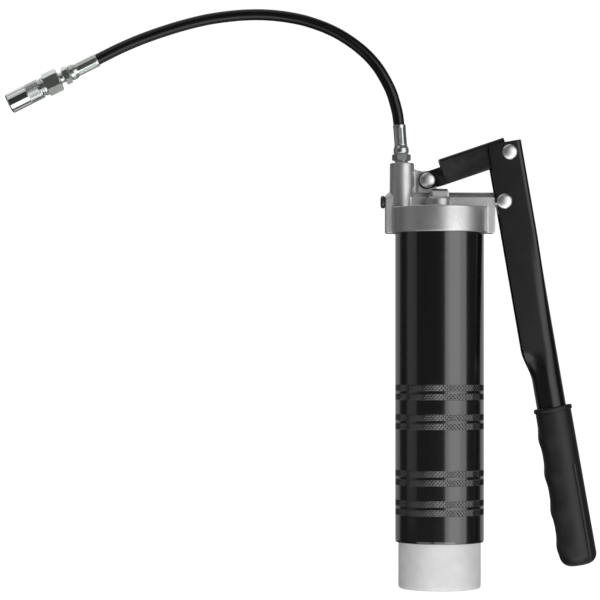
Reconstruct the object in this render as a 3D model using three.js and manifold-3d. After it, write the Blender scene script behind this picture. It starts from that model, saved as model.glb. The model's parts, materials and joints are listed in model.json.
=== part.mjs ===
// Lever grease gun for screw-in cartridges, in millimetres, +Z up.
// The origin is the centre of the flat base of the cartridge, on which the gun stands.
// +X points from the barrel to the hand lever, and the pump linkage works in the XZ plane.
import * as THREE from "three";
import { mergeVertices } from "three/addons/utils/BufferGeometryUtils.js";
import Module from "manifold-3d";

const wasm = await Module();
wasm.setup();

const GAP = 0.3; // clearance between neighbouring pieces
const PAST = 1; // how far a cutter, or the root of a joined piece, reaches past the face it meets
const THROUGH = 20; // half the length of a cutter that goes right through the linkage
const DEG = Math.PI / 180;

// Cartridge, standard 400 g screw-in size
const CARTRIDGE_RADIUS = 26.75;
const CARTRIDGE_WALL = 1.2;
const CARTRIDGE_BASE_EDGE = 2.2;
const CARTRIDGE_SHOULDER_Z = 217;
const CARTRIDGE_NECK_RADIUS = 18;
const CARTRIDGE_NECK_WALL = 2.2;
const CARTRIDGE_NECK_Z = [226, 240];
const VENT_HOLE_RADIUS = 1.5;
const VENT_HOLE_CIRCLE = 12;
const VENT_HOLES = 4;
const FOLLOWER_Z = [4, 20];
const FOLLOWER_WALL = 1.6;

// Barrel: the steel tube that guards the cartridge
const BARREL_RADIUS = 28.75;
const BARREL_WALL = 1;
const BARREL_Z = [30.2, 243.2];
const KNURL_BAND_CENTRES = [52.6, 71.8, 107.9, 127];
const KNURL_STRIP_HEIGHT = 3.5;
const KNURL_STRIP_SPACING = 5.3;
const KNURL_RISE = 0.3;

// Head casting
const RING_RADIUS = 31;
const HEAD_BOTTOM = 230.4;
const RING_TOP = 247;
const HEAD_LEFT = -35.4;
const HEAD_RIGHT = 35.75;
const HEAD_EDGE = 1.5;
const SOCKET_CEILING = 243.5;
const SOCKET_RADIUS = CARTRIDGE_NECK_RADIUS + GAP;
const SOCKET_COLLAR_RADIUS = 22.5;
const SOCKET_COLLAR_BOTTOM = 231.5;
const PUMP_AXIS_Z = 250.8;
const PUMP_RADIUS = 6.3;
const OUTLET_X = -24.8;
const OUTLET_TOP = 276;
const OUTLET_RADIUS = [8.2, 7.8];
const LUG_HALF_WIDTH = 2.9;
const LUG_RADIUS = 6.4;
const BLEED_X = -0.7;
const BLEED_Y = -13;
const BLEED_PAD = { x: -1.6, y: -15, radius: 8, top: 252.4 };
const BLEED_BLOCK = { width: 11.4, front: -19.5, top: 256.9 };
const BLEED_BORE_RADIUS = 2.5;
const BLEED_SCREW = { radius: 2.2, bottom: SOCKET_CEILING + 6, headRadius: 5.2, headHeight: 1 };

// Pump: plunger, seal, plug and outlet valve
const PLUNGER_RADIUS = 3.2;
const PLUNGER_LEFT = -17.5;
const EYE_CORNER = 2.5;
const EYE_HALF_WIDTH = 4;
const EYE_X = [HEAD_RIGHT + 1.5, 48];
const EYE_Z = [PUMP_AXIS_Z - 8, PUMP_AXIS_Z + 5];
const BORE_RADIUS = PLUNGER_RADIUS + GAP;
const SEAL_RADIUS = 4.9;
const SEAL_X = [30.3, 33.4];
const PLUG_HEAD_RADIUS = 4.1;
const PLUG_HEAD_LENGTH = 2.6;
const PLUG_DEPTH = 6;
const FEED_HOLE_X = 3;
const FEED_HOLE_RADIUS = 2.5;
const VALVE_SEAT_Z = 257.6;
const VALVE_SEAT_RADIUS = 1.8;
const VALVE_CHAMBER_RADIUS = 3.6;
const CHECK_BALL_RADIUS = 2.6;
const CHECK_BALL_Z = 259.8;
const CHECK_SPRING_Z = [262.8, 269.4];
const CHECK_SPRING_RADIUS = 2.2;
const CHECK_SPRING_WIRE = 0.4;
const CHECK_SPRING_TURNS = 4;
const NIPPLE_BOTTOM = 270;
const NIPPLE_RADIUS = 4.2;

// Linkage: pivots in the XZ plane, with the lever closed
const LINK_PIVOT = { x: -8.2, z: 264.6 };
const LEVER_PIVOT = { x: 44.8, z: 282.6 };
const PLUNGER_PIVOT = { x: 41.5, z: PUMP_AXIS_Z };
const LINK_LENGTH = Math.hypot(LEVER_PIVOT.x - LINK_PIVOT.x, LEVER_PIVOT.z - LINK_PIVOT.z);
const LINK_TILT = Math.atan2(LEVER_PIVOT.z - LINK_PIVOT.z, LEVER_PIVOT.x - LINK_PIVOT.x);
const LEVER_TILT = 9.84 * DEG;
const PIN_RADIUS = 2.5;
const PIN_HOLE_RADIUS = PIN_RADIUS + GAP;
const PIN_HEAD_RADIUS = 4.95;
const PIN_HEAD_HEIGHT = 2.3;
const SHEET = 2;
// Where the plunger pin strays to inside the plunger's eye half-way through the stroke
const EYE_SLOT_REACH = { x: 1.1, z: -2.5 };
const EYE_SLOT_MARGIN = 0.2;

// Link: a channel with its web on top and ears that step inwards round the head's lug
const LINK_HALF_WIDTH = 6.45;
const LINK_EAR_HALF_WIDTH = 5.2;
const LINK_TOP = 10.5;
const LINK_BOTTOM = -5.9;
const LINK_EAR_RADIUS = 5.5;
const LINK_STEP_X = [5.5, 11.8];
const LINK_WEB_END = LINK_LENGTH - 0.5;

// Lever: a channel with its web on the outer side, closed below into a round tube
const LEVER_HALF_WIDTH = 8.75;
const LEVER_WEB = 8.85;
const LEVER_EDGE = -13.3;
const LEVER_TOP = 7;
const LEVER_CORNER = 3;
const LEVER_SLIT = { start: 6, reach: 4, half: 0.5 };
const CHANNEL_END = -130;
const TUBE_START = -147;
const TUBE_END = -255;
const TUBE_RADIUS = 9.5;
const TUBE_OFFSET = -0.6;

// Grip: a rubber sleeve with a rim, low finger ridges and a rounded end
const GRIP_TOP = -167.3;
const GRIP_END = -271.5;
const GRIP_RIM_RADIUS = 12.5;
const GRIP_RIM_HEIGHT = 2.6;
const GRIP_RADIUS = 11.6;
const GRIP_END_ROUND = 8;
const GRIP_TAPER = 0.4;
const GRIP_RIDGES = 4;
const GRIP_RIDGE_RISE = 1;
const GRIP_RIDGE_FIRST = -187;
const GRIP_RIDGE_SPACING = 23.7;
const GRIP_STEPS = 40;

// Hose and its fittings
const HOSE_RADIUS = 3.65;
const HOSE_STEPS = 16;
const HOSE_SIDES = 10;
const HOSE_ROUTE = [
  [-26.4, 301.2], [-27.2, 307.5], [-28.7, 314], [-31.2, 322], [-34.8, 329.6],
  [-39.6, 337.6], [-45.2, 344.5], [-51.5, 350.4], [-58.4, 355.6], [-66, 360.3],
  [-74.2, 364.2], [-82.7, 367.3], [-91.5, 369.7], [-103.4, 371.7], [-115.4, 372.6],
  [-127.3, 372.4], [-139.2, 371.3], [-150.9, 369.5], [-162.6, 366.8], [-174.2, 363.5],
  [-185.7, 359.7], [-197.1, 355.4], [-208.3, 350.5], [-216.6, 346.4], [-221.7, 343.8],
];
const FLOW_BORE_RADIUS = 1.6;
const FERRULE_RADIUS = 4.2;
const FERRULE_TILT = -4.2 * DEG;
const FERRULE_BASE_Z = 282.1;
const FERRULE_LENGTH = 18.8;
const FERRULE_COLLAR = { radius: 5, start: 1.2, end: 3.4, foot: 5 };
const FERRULE_EDGE = 0.4;
const ADAPTER_HEX = { start: 277.6, end: 281.8, acrossCorners: 12.2 };

// Coupler at the free end, measured along its own axis from the hose towards the nose
const COUPLER_FRONT = { x: -279.8, z: 314.5 };
const COUPLER_LENGTH = 64.3;
const COUPLER_TURN = -116.6 * DEG;
const COUPLER_NUT = { start: 20.6, end: 24.4, acrossCorners: 12.1 };
const COUPLER_HEX = { start: 27.8, end: 37.6, acrossCorners: 15.4 };
const COUPLER_NECK_RADIUS = 3.6;
const COUPLER_COLLAR_RADIUS = 6.1;
const COUPLER_TUBE = { radius: 4.9, end: 47.5 };
const COUPLER_SEAL_SPAN = [49.8, 53.2];
const SLEEVE_START = 40.7;
const SLEEVE_RADIUS = 6.55;
const SLEEVE_MOUTH_RADIUS = 4.6;
const SLEEVE_THREAD_RADIUS = 5.2;
const SLEEVE_BORE = { radius: 5.9, start: 49 };
const SLEEVE_MOUTH_DEPTH = [0.8, 3];
const JAW_COUNT = 4;
const JAW_INNER_RADIUS = 3.2;
const JAW_OUTER_RADIUS = 4.9;
const JAW_SPAN = [54.5, 62.4];
const JAW_ARC = 74 * DEG;
const JAW_TIP = { length: 2.6, radius: 3.9 };

const material = (color, roughness, metalness) =>
  new THREE.MeshStandardMaterial({ color, roughness, metalness });

// A closed three.js geometry as a manifold-3d solid whose faces point outwards.
function solid(geometry) {
  const bare = geometry.index ? geometry.toNonIndexed() : geometry.clone();
  bare.deleteAttribute("normal");
  bare.deleteAttribute("uv");
  const merged = mergeVertices(bare, 1e-4);
  const triangles = [];
  for (let i = 0; i < merged.index.count; i += 3) {
    const [a, b, c] = merged.index.array.slice(i, i + 3);
    if (a !== b && b !== c && c !== a) triangles.push([a, b, c]);
  }
  const build = (list) =>
    new wasm.Manifold(
      new wasm.Mesh({
        numProp: 3,
        vertProperties: merged.attributes.position.array,
        triVerts: new Uint32Array(list.flat()),
      }),
    );
  const body = build(triangles);
  return body.volume() > 0 ? body : build(triangles.map(([a, b, c]) => [a, c, b]));
}

// A manifold-3d solid as a named mesh.
function meshOf(name, body, look) {
  const made = body.getMesh();
  const geometry = new THREE.BufferGeometry();
  geometry.setAttribute("position", new THREE.BufferAttribute(made.vertProperties, 3));
  geometry.setIndex(new THREE.BufferAttribute(made.triVerts, 1));
  geometry.computeVertexNormals();
  const mesh = new THREE.Mesh(geometry, look);
  mesh.name = name;
  return mesh;
}

// A solid of revolution about Z from [radius, z] points that start and end on the axis or close.
function lathe(profile, segments = 40) {
  const points = profile.map(([r, z]) => new THREE.Vector2(r, z));
  return solid(new THREE.LatheGeometry(points, segments).rotateX(Math.PI / 2));
}

function ringProfile(inner, outer, bottom, top) {
  return [[inner, bottom], [outer, bottom], [outer, top], [inner, top], [inner, bottom]];
}

function discProfile(radius, bottom, top) {
  return [[0, bottom], [radius, bottom], [radius, top], [0, top]];
}

function rod(radius, bottom, top, segments = 24) {
  return lathe(discProfile(radius, bottom, top), segments);
}

// Turns a solid that was made along Z so that it lies along X or Y.
const alongX = (body) => body.rotate([0, 90, 0]);
const alongY = (body) => body.rotate([-90, 0, 0]);

function box(x, y, z) {
  const geometry = new THREE.BoxGeometry(x[1] - x[0], y[1] - y[0], z[1] - z[0]);
  return solid(geometry.translate((x[0] + x[1]) / 2, (y[0] + y[1]) / 2, (z[0] + z[1]) / 2));
}

// An outline drawn in X and Z, pushed through from y[0] to y[1].
function plate(shape, y, curveSegments = 10) {
  const depth = y[1] - y[0];
  const geometry = new THREE.ExtrudeGeometry(shape, { depth, bevelEnabled: false, curveSegments });
  return solid(geometry.rotateX(Math.PI / 2).translate(0, y[1], 0));
}

function polygon(points) {
  return new THREE.Shape(points.map(([x, z]) => new THREE.Vector2(x, z)));
}

function roundedRectangle(x, z, radius) {
  const shape = new THREE.Shape();
  shape.moveTo(x[0] + radius, z[0]);
  shape.lineTo(x[1] - radius, z[0]);
  shape.absarc(x[1] - radius, z[0] + radius, radius, -Math.PI / 2, 0);
  shape.lineTo(x[1], z[1] - radius);
  shape.absarc(x[1] - radius, z[1] - radius, radius, 0, Math.PI / 2);
  shape.lineTo(x[0] + radius, z[1]);
  shape.absarc(x[0] + radius, z[1] - radius, radius, Math.PI / 2, Math.PI);
  shape.lineTo(x[0], z[0] + radius);
  shape.absarc(x[0] + radius, z[0] + radius, radius, Math.PI, 1.5 * Math.PI);
  return shape;
}

// A hexagonal prism along Z with both ends chamfered by a cone. One flat faces -Y.
function hexagon(acrossCorners, bottom, top) {
  const radius = acrossCorners / 2;
  const chamfer = radius * 0.13;
  const height = top - bottom;
  const bar = new THREE.CylinderGeometry(radius, radius, height, 6).rotateY(Math.PI / 6);
  const prism = bar.rotateX(Math.PI / 2);
  const profile = [
    [0, bottom], [radius - chamfer, bottom], [radius, bottom + chamfer * 0.6],
    [radius, top - chamfer * 0.6], [radius - chamfer, top], [0, top],
  ];
  return solid(prism.translate(0, 0, (bottom + top) / 2)).intersect(lathe(profile, 36));
}

// A body along Z whose section changes with height: sectionAt(angle, z) gives [x, y].
function morphed(sectionAt, z, steps, segments = 36) {
  const height = z[1] - z[0];
  const geometry = new THREE.CylinderGeometry(1, 1, height, segments, steps).rotateX(Math.PI / 2);
  geometry.translate(0, 0, (z[0] + z[1]) / 2);
  const place = geometry.attributes.position;
  for (let i = 0; i < place.count; i++) {
    const reach = Math.hypot(place.getX(i), place.getY(i));
    const angle = Math.atan2(place.getY(i), place.getX(i));
    const [x, y] = sectionAt(angle, place.getZ(i), reach);
    place.setXY(i, x, y);
  }
  return solid(geometry);
}

// A coil spring along Z, standing between two heights.
function spring(radius, wire, z, turns) {
  class Coil extends THREE.Curve {
    getPoint(t) {
      const angle = 2 * Math.PI * turns * t;
      const height = z[0] + wire + (z[1] - z[0] - 2 * wire) * t;
      return new THREE.Vector3(radius * Math.cos(angle), radius * Math.sin(angle), height);
    }
  }
  const section = new THREE.Shape().absarc(0, 0, wire, 0, 2 * Math.PI);
  const options = { extrudePath: new Coil(), steps: turns * 12, curveSegments: 3, bevelEnabled: false };
  return solid(new THREE.ExtrudeGeometry(section, options));
}

function cartridge() {
  const inner = CARTRIDGE_RADIUS - CARTRIDGE_WALL;
  const neckInner = CARTRIDGE_NECK_RADIUS - CARTRIDGE_NECK_WALL;
  const shell = lathe([
    [0, 0], [CARTRIDGE_RADIUS - CARTRIDGE_BASE_EDGE, 0],
    [CARTRIDGE_RADIUS - CARTRIDGE_BASE_EDGE * 0.3, CARTRIDGE_BASE_EDGE * 0.3],
    [CARTRIDGE_RADIUS, CARTRIDGE_BASE_EDGE],
    [CARTRIDGE_RADIUS, CARTRIDGE_SHOULDER_Z], [CARTRIDGE_NECK_RADIUS, CARTRIDGE_NECK_Z[0]],
    [CARTRIDGE_NECK_RADIUS, CARTRIDGE_NECK_Z[1]], [neckInner, CARTRIDGE_NECK_Z[1]],
    [neckInner, CARTRIDGE_NECK_Z[0] - CARTRIDGE_WALL],
    [inner, CARTRIDGE_SHOULDER_Z - CARTRIDGE_WALL], [inner, CARTRIDGE_WALL * 2], [0, CARTRIDGE_WALL * 2],
  ], 48);
  let vented = shell;
  for (let i = 0; i < VENT_HOLES; i++) {
    const angle = (i + 0.5) * 2 * Math.PI / VENT_HOLES;
    const hole = rod(VENT_HOLE_RADIUS, -PAST, CARTRIDGE_WALL * 3, 12);
    const place = [VENT_HOLE_CIRCLE * Math.cos(angle), VENT_HOLE_CIRCLE * Math.sin(angle), 0];
    vented = vented.subtract(hole.translate(place));
  }
  return meshOf("cartridge_shell", vented, material(0xd4d6d6, 0.45, 0));
}

// The follower piston is a cup that grease pressure and suction draw up the cartridge.
function followerPiston() {
  const outer = CARTRIDGE_RADIUS - CARTRIDGE_WALL - GAP;
  const [bottom, top] = FOLLOWER_Z;
  const body = lathe([
    [0, top - FOLLOWER_WALL], [outer - 5, top - FOLLOWER_WALL], [outer - FOLLOWER_WALL, bottom + 6],
    [outer - FOLLOWER_WALL, bottom], [outer, bottom], [outer, bottom + 7], [outer - 4.4, top], [0, top],
  ]);
  return meshOf("follower_piston", body, material(0x9fa3a5, 0.5, 0));
}

function neckGasket() {
  const top = SOCKET_CEILING - GAP;
  const bottom = CARTRIDGE_NECK_Z[1] + GAP;
  const inner = CARTRIDGE_NECK_RADIUS - CARTRIDGE_NECK_WALL;
  const body = lathe(ringProfile(inner, CARTRIDGE_NECK_RADIUS - GAP, bottom, top));
  return meshOf("cartridge_gasket", body, material(0x1c1c1c, 0.8, 0));
}

function barrel() {
  const [bottom, top] = BARREL_Z;
  const inner = BARREL_RADIUS - BARREL_WALL;
  const lip = CARTRIDGE_RADIUS + GAP;
  const outline = [[lip, bottom], [BARREL_RADIUS - 1.2, bottom], [BARREL_RADIUS - 0.35, bottom + 0.4],
    [BARREL_RADIUS, bottom + 1.3]];
  for (const centre of KNURL_BAND_CENTRES) {
    for (const side of [-1, 1]) {
      const low = centre + side * KNURL_STRIP_SPACING / 2 - KNURL_STRIP_HEIGHT / 2;
      const high = low + KNURL_STRIP_HEIGHT;
      outline.push([BARREL_RADIUS, low], [BARREL_RADIUS + KNURL_RISE, low + KNURL_RISE]);
      outline.push([BARREL_RADIUS + KNURL_RISE, high - KNURL_RISE], [BARREL_RADIUS, high]);
    }
  }
  outline.push([BARREL_RADIUS, top], [inner, top], [inner, bottom + 2], [lip, bottom + 1], [lip, bottom]);
  return meshOf("barrel", lathe(outline, 36), material(0x0d0d0e, 0.18, 0.1));
}

function headCasting() {
  const ring = lathe([
    [0, HEAD_BOTTOM], [RING_RADIUS - 0.4, HEAD_BOTTOM], [RING_RADIUS, HEAD_BOTTOM + 0.4],
    [RING_RADIUS, RING_TOP - 1], [RING_RADIUS - 1, RING_TOP], [0, RING_TOP],
  ], 56);
  const ears = plate(roundedRectangle([HEAD_LEFT, HEAD_RIGHT], [HEAD_BOTTOM, PUMP_AXIS_Z + 3], HEAD_EDGE),
    [-PUMP_RADIUS, PUMP_RADIUS], 3);
  const pump = alongX(lathe([
    [0, HEAD_LEFT], [PUMP_RADIUS - 2.4, HEAD_LEFT], [PUMP_RADIUS - 0.7, HEAD_LEFT + 0.7],
    [PUMP_RADIUS, HEAD_LEFT + 2.4], [PUMP_RADIUS, HEAD_RIGHT - 0.5],
    [PUMP_RADIUS - 0.5, HEAD_RIGHT], [0, HEAD_RIGHT],
  ], 32)).translate([0, 0, PUMP_AXIS_Z]);
  const outlet = lathe([
    [0, RING_TOP - 6], [OUTLET_RADIUS[0], RING_TOP - 6], [OUTLET_RADIUS[1], OUTLET_TOP - 1],
    [OUTLET_RADIUS[1] - 0.9, OUTLET_TOP], [0, OUTLET_TOP],
  ], 32).translate([OUTLET_X, 0, 0]);
  const web = plate(polygon([
    [OUTLET_X, PUMP_AXIS_Z], [LINK_PIVOT.x, PUMP_AXIS_Z], [LINK_PIVOT.x, LINK_PIVOT.z + LUG_RADIUS - 0.8],
    [OUTLET_X, LINK_PIVOT.z + LUG_RADIUS + 2.2],
  ]), [-LUG_HALF_WIDTH + 0.4, LUG_HALF_WIDTH - 0.4]);
  const lugBlock = box([LINK_PIVOT.x - LUG_RADIUS, LINK_PIVOT.x + LUG_RADIUS],
    [-LUG_HALF_WIDTH, LUG_HALF_WIDTH], [PUMP_AXIS_Z, LINK_PIVOT.z]);
  const lugEnd = alongY(rod(LUG_RADIUS, -LUG_HALF_WIDTH, LUG_HALF_WIDTH, 28));
  const pad = rod(BLEED_PAD.radius, RING_TOP - 2, BLEED_PAD.top, 28).translate([BLEED_PAD.x, BLEED_PAD.y, 0]);
  const halfBlock = BLEED_BLOCK.width / 2;
  const block = box([BLEED_X - halfBlock, BLEED_X + halfBlock], [BLEED_BLOCK.front, 0],
    [RING_TOP - 2, BLEED_BLOCK.top]);
  const cast = ring.add(ears).add(pump).add(outlet).add(web).add(lugBlock)
    .add(lugEnd.translate([LINK_PIVOT.x, 0, LINK_PIVOT.z])).add(pad).add(block);

  const mouth = HEAD_BOTTOM - PAST;
  const barrelSeat = lathe(ringProfile(SOCKET_COLLAR_RADIUS, BARREL_RADIUS + GAP, mouth, SOCKET_CEILING));
  const socket = lathe([
    [0, mouth], [SOCKET_COLLAR_RADIUS + PAST, mouth],
    [SOCKET_COLLAR_RADIUS + PAST, SOCKET_COLLAR_BOTTOM], [SOCKET_RADIUS, SOCKET_COLLAR_BOTTOM],
    [SOCKET_RADIUS, SOCKET_CEILING], [0, SOCKET_CEILING],
  ]);
  const onPumpAxis = (body) => alongX(body).translate([0, 0, PUMP_AXIS_Z]);
  const bore = onPumpAxis(rod(BORE_RADIUS, HEAD_LEFT - PAST, HEAD_RIGHT + PAST));
  const sealSeat = onPumpAxis(rod(SEAL_RADIUS + GAP, SEAL_X[0] - GAP, HEAD_RIGHT + PAST));
  const feed = rod(FEED_HOLE_RADIUS, SOCKET_CEILING - PAST, PUMP_AXIS_Z, 16).translate([FEED_HOLE_X, 0, 0]);
  const seat = rod(VALVE_SEAT_RADIUS, PUMP_AXIS_Z, VALVE_SEAT_Z + PAST, 16).translate([OUTLET_X, 0, 0]);
  const chamber = rod(VALVE_CHAMBER_RADIUS, VALVE_SEAT_Z, NIPPLE_BOTTOM).translate([OUTLET_X, 0, 0]);
  const thread = rod(NIPPLE_RADIUS + GAP, NIPPLE_BOTTOM - PAST, OUTLET_TOP + PAST).translate([OUTLET_X, 0, 0]);
  const pinHole = linkageHole().translate([LINK_PIVOT.x, 0, LINK_PIVOT.z]);
  const bleedBore = rod(BLEED_BORE_RADIUS, SOCKET_CEILING - PAST, BLEED_BLOCK.top + PAST, 16);
  const bleedHole = bleedBore.translate([BLEED_X, BLEED_Y, 0]);
  const cuts = [barrelSeat, socket, bore, sealSeat, feed, seat, chamber, thread, pinHole, bleedHole];
  const finished = cuts.reduce((body, cut) => body.subtract(cut), cast);
  return meshOf("head_casting", finished, material(0xa2a4a6, 0.45, 0.85));
}

// The cutter for a pivot pin, along Y at the origin.
function linkageHole() {
  return alongY(rod(PIN_HOLE_RADIUS, -THROUGH, THROUGH, 20));
}

// The plunger's eye is slotted, so that the pin keeps clear of it all the way round its arc.
function pumpPlunger() {
  const shaft = alongX(rod(PLUNGER_RADIUS, PLUNGER_LEFT, EYE_X[0] + 2 * PAST)).translate([0, 0, PUMP_AXIS_Z]);
  const eye = plate(roundedRectangle(EYE_X, EYE_Z, EYE_CORNER), [-EYE_HALF_WIDTH, EYE_HALF_WIDTH], 4);
  const slotRadius = PIN_HOLE_RADIUS + EYE_SLOT_MARGIN;
  const cut = EYE_HALF_WIDTH + PAST;
  const end = alongY(rod(slotRadius, -cut, cut, 20));
  const slope = Math.atan2(EYE_SLOT_REACH.z, EYE_SLOT_REACH.x) / DEG;
  const reach = Math.hypot(EYE_SLOT_REACH.x, EYE_SLOT_REACH.z);
  const middle = box([0, reach], [-cut, cut], [-slotRadius, slotRadius]).rotate([0, -slope, 0]);
  const slot = end.add(end.translate([EYE_SLOT_REACH.x, 0, EYE_SLOT_REACH.z])).add(middle);
  const body = shaft.add(eye).subtract(slot.translate([PLUNGER_PIVOT.x, 0, PLUNGER_PIVOT.z]));
  return meshOf("pump_plunger", body, material(0xb4b6b8, 0.3, 1));
}

function plungerSeal() {
  const ring = lathe(ringProfile(BORE_RADIUS, SEAL_RADIUS, SEAL_X[0], SEAL_X[1]), 28);
  return meshOf("plunger_seal", alongX(ring).translate([0, 0, PUMP_AXIS_Z]), material(0x202020, 0.7, 0));
}

function glandRing() {
  const ring = lathe(ringProfile(BORE_RADIUS, SEAL_RADIUS, SEAL_X[1] + GAP, HEAD_RIGHT - 0.2), 28);
  return meshOf("gland_ring", alongX(ring).translate([0, 0, PUMP_AXIS_Z]), material(0x9a9c9e, 0.35, 1));
}

function endPlug() {
  const face = HEAD_LEFT - GAP;
  const body = lathe([
    [0, face - PLUG_HEAD_LENGTH], [PLUG_HEAD_RADIUS - 1.2, face - PLUG_HEAD_LENGTH],
    [PLUG_HEAD_RADIUS, face - PLUG_HEAD_LENGTH + 1], [PLUG_HEAD_RADIUS, face],
    [BORE_RADIUS - GAP, face], [BORE_RADIUS - GAP, HEAD_LEFT + PLUG_DEPTH], [0, HEAD_LEFT + PLUG_DEPTH],
  ], 24);
  return meshOf("end_plug", alongX(body).translate([0, 0, PUMP_AXIS_Z]), material(0x4a4c4e, 0.4, 1));
}

function checkBall() {
  const ball = solid(new THREE.SphereGeometry(CHECK_BALL_RADIUS, 16, 10));
  return meshOf("check_ball", ball.translate([OUTLET_X, 0, CHECK_BALL_Z]), material(0xc0c2c4, 0.15, 1));
}

function checkSpring() {
  const coil = spring(CHECK_SPRING_RADIUS, CHECK_SPRING_WIRE, CHECK_SPRING_Z, CHECK_SPRING_TURNS);
  return meshOf("check_spring", coil.translate([OUTLET_X, 0, 0]), material(0x9a9c9e, 0.3, 1));
}

function bleedValve() {
  const seat = BLEED_BLOCK.top + GAP;
  const { radius, bottom, headRadius, headHeight } = BLEED_SCREW;
  const body = lathe([
    [0, bottom], [radius, bottom], [radius, seat], [headRadius, seat], [headRadius, seat + headHeight - 0.3],
    [headRadius - 0.3, seat + headHeight], [0, seat + headHeight],
  ], 24);
  return meshOf("bleed_valve", body.translate([BLEED_X, BLEED_Y, 0]), material(0x2c2d2e, 0.5, 0.9));
}

// A rivet along Y with a domed head outside each face that it clamps.
function rivet(name, halfWidth) {
  const face = halfWidth + GAP;
  const dome = (height, sign) => {
    const points = [];
    for (let i = 0; i <= 3; i++) {
      const angle = i / 3 * Math.PI / 2;
      points.push([PIN_HEAD_RADIUS * Math.cos(angle), sign * (face + 0.5 + (height - 0.5) * Math.sin(angle))]);
    }
    return points;
  };
  const front = dome(PIN_HEAD_HEIGHT, -1).reverse();
  front[0][0] = 0;
  const back = dome(PIN_HEAD_HEIGHT, 1);
  back[back.length - 1][0] = 0;
  const profile = [...front, [PIN_HEAD_RADIUS, -face], [PIN_RADIUS, -face], [PIN_RADIUS, face],
    [PIN_HEAD_RADIUS, face], ...back];
  return meshOf(name, alongY(lathe(profile, 20)), material(0xc6c8ca, 0.25, 1));
}

// Made in its own frame: the link pivot at the origin, X along the link, Z towards the web.
function link() {
  const outline = new THREE.Shape();
  outline.absarc(0, 0, LINK_EAR_RADIUS, Math.PI / 2, 1.5 * Math.PI);
  outline.lineTo(LINK_STEP_X[1] - 2, LINK_BOTTOM);
  outline.lineTo(LINK_LENGTH, LINK_BOTTOM);
  outline.absarc(LINK_LENGTH, 0, -LINK_BOTTOM, -Math.PI / 2, Math.PI / 2);
  outline.lineTo(LINK_WEB_END, -LINK_BOTTOM);
  outline.lineTo(LINK_WEB_END, LINK_TOP);
  outline.lineTo(LINK_STEP_X[1] + 1, LINK_TOP);
  outline.lineTo(LINK_STEP_X[1], LINK_TOP - 1);
  outline.lineTo(LINK_STEP_X[1], LINK_EAR_RADIUS - 0.3);
  const side = plate(outline, [-LINK_HALF_WIDTH, LINK_HALF_WIDTH], 8);
  // Seen from above, the flanges step inwards towards the ears.
  const span = [-THROUGH, LINK_LENGTH + THROUGH];
  const outerPlan = planOutline(LINK_EAR_HALF_WIDTH, LINK_HALF_WIDTH, span);
  const innerPlan = planOutline(LINK_EAR_HALF_WIDTH - SHEET, LINK_HALF_WIDTH - SHEET, span);
  const outer = standing(outerPlan, [-THROUGH, LINK_TOP + PAST]);
  const inner = standing(innerPlan, [-THROUGH, LINK_TOP - SHEET]);
  const hole = linkageHole();
  const holes = hole.add(hole.translate([LINK_LENGTH, 0, 0]));
  const body = side.intersect(outer).subtract(inner).subtract(holes);
  return meshOf("link", body, material(0x141415, 0.42, 0.2));
}

// The link's plan view: half-width narrow at the ears, wide from the end of the step on.
function planOutline(narrow, wide, x) {
  const [start, end] = LINK_STEP_X;
  return polygon([
    [x[0], -narrow], [start, -narrow], [end, -wide], [x[1], -wide],
    [x[1], wide], [end, wide], [start, narrow], [x[0], narrow],
  ]);
}

// An outline drawn in X and Y, standing from z[0] to z[1].
function standing(shape, z) {
  const options = { depth: z[1] - z[0], bevelEnabled: false, curveSegments: 6 };
  return solid(new THREE.ExtrudeGeometry(shape, options).translate(0, 0, z[0]));
}

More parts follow.
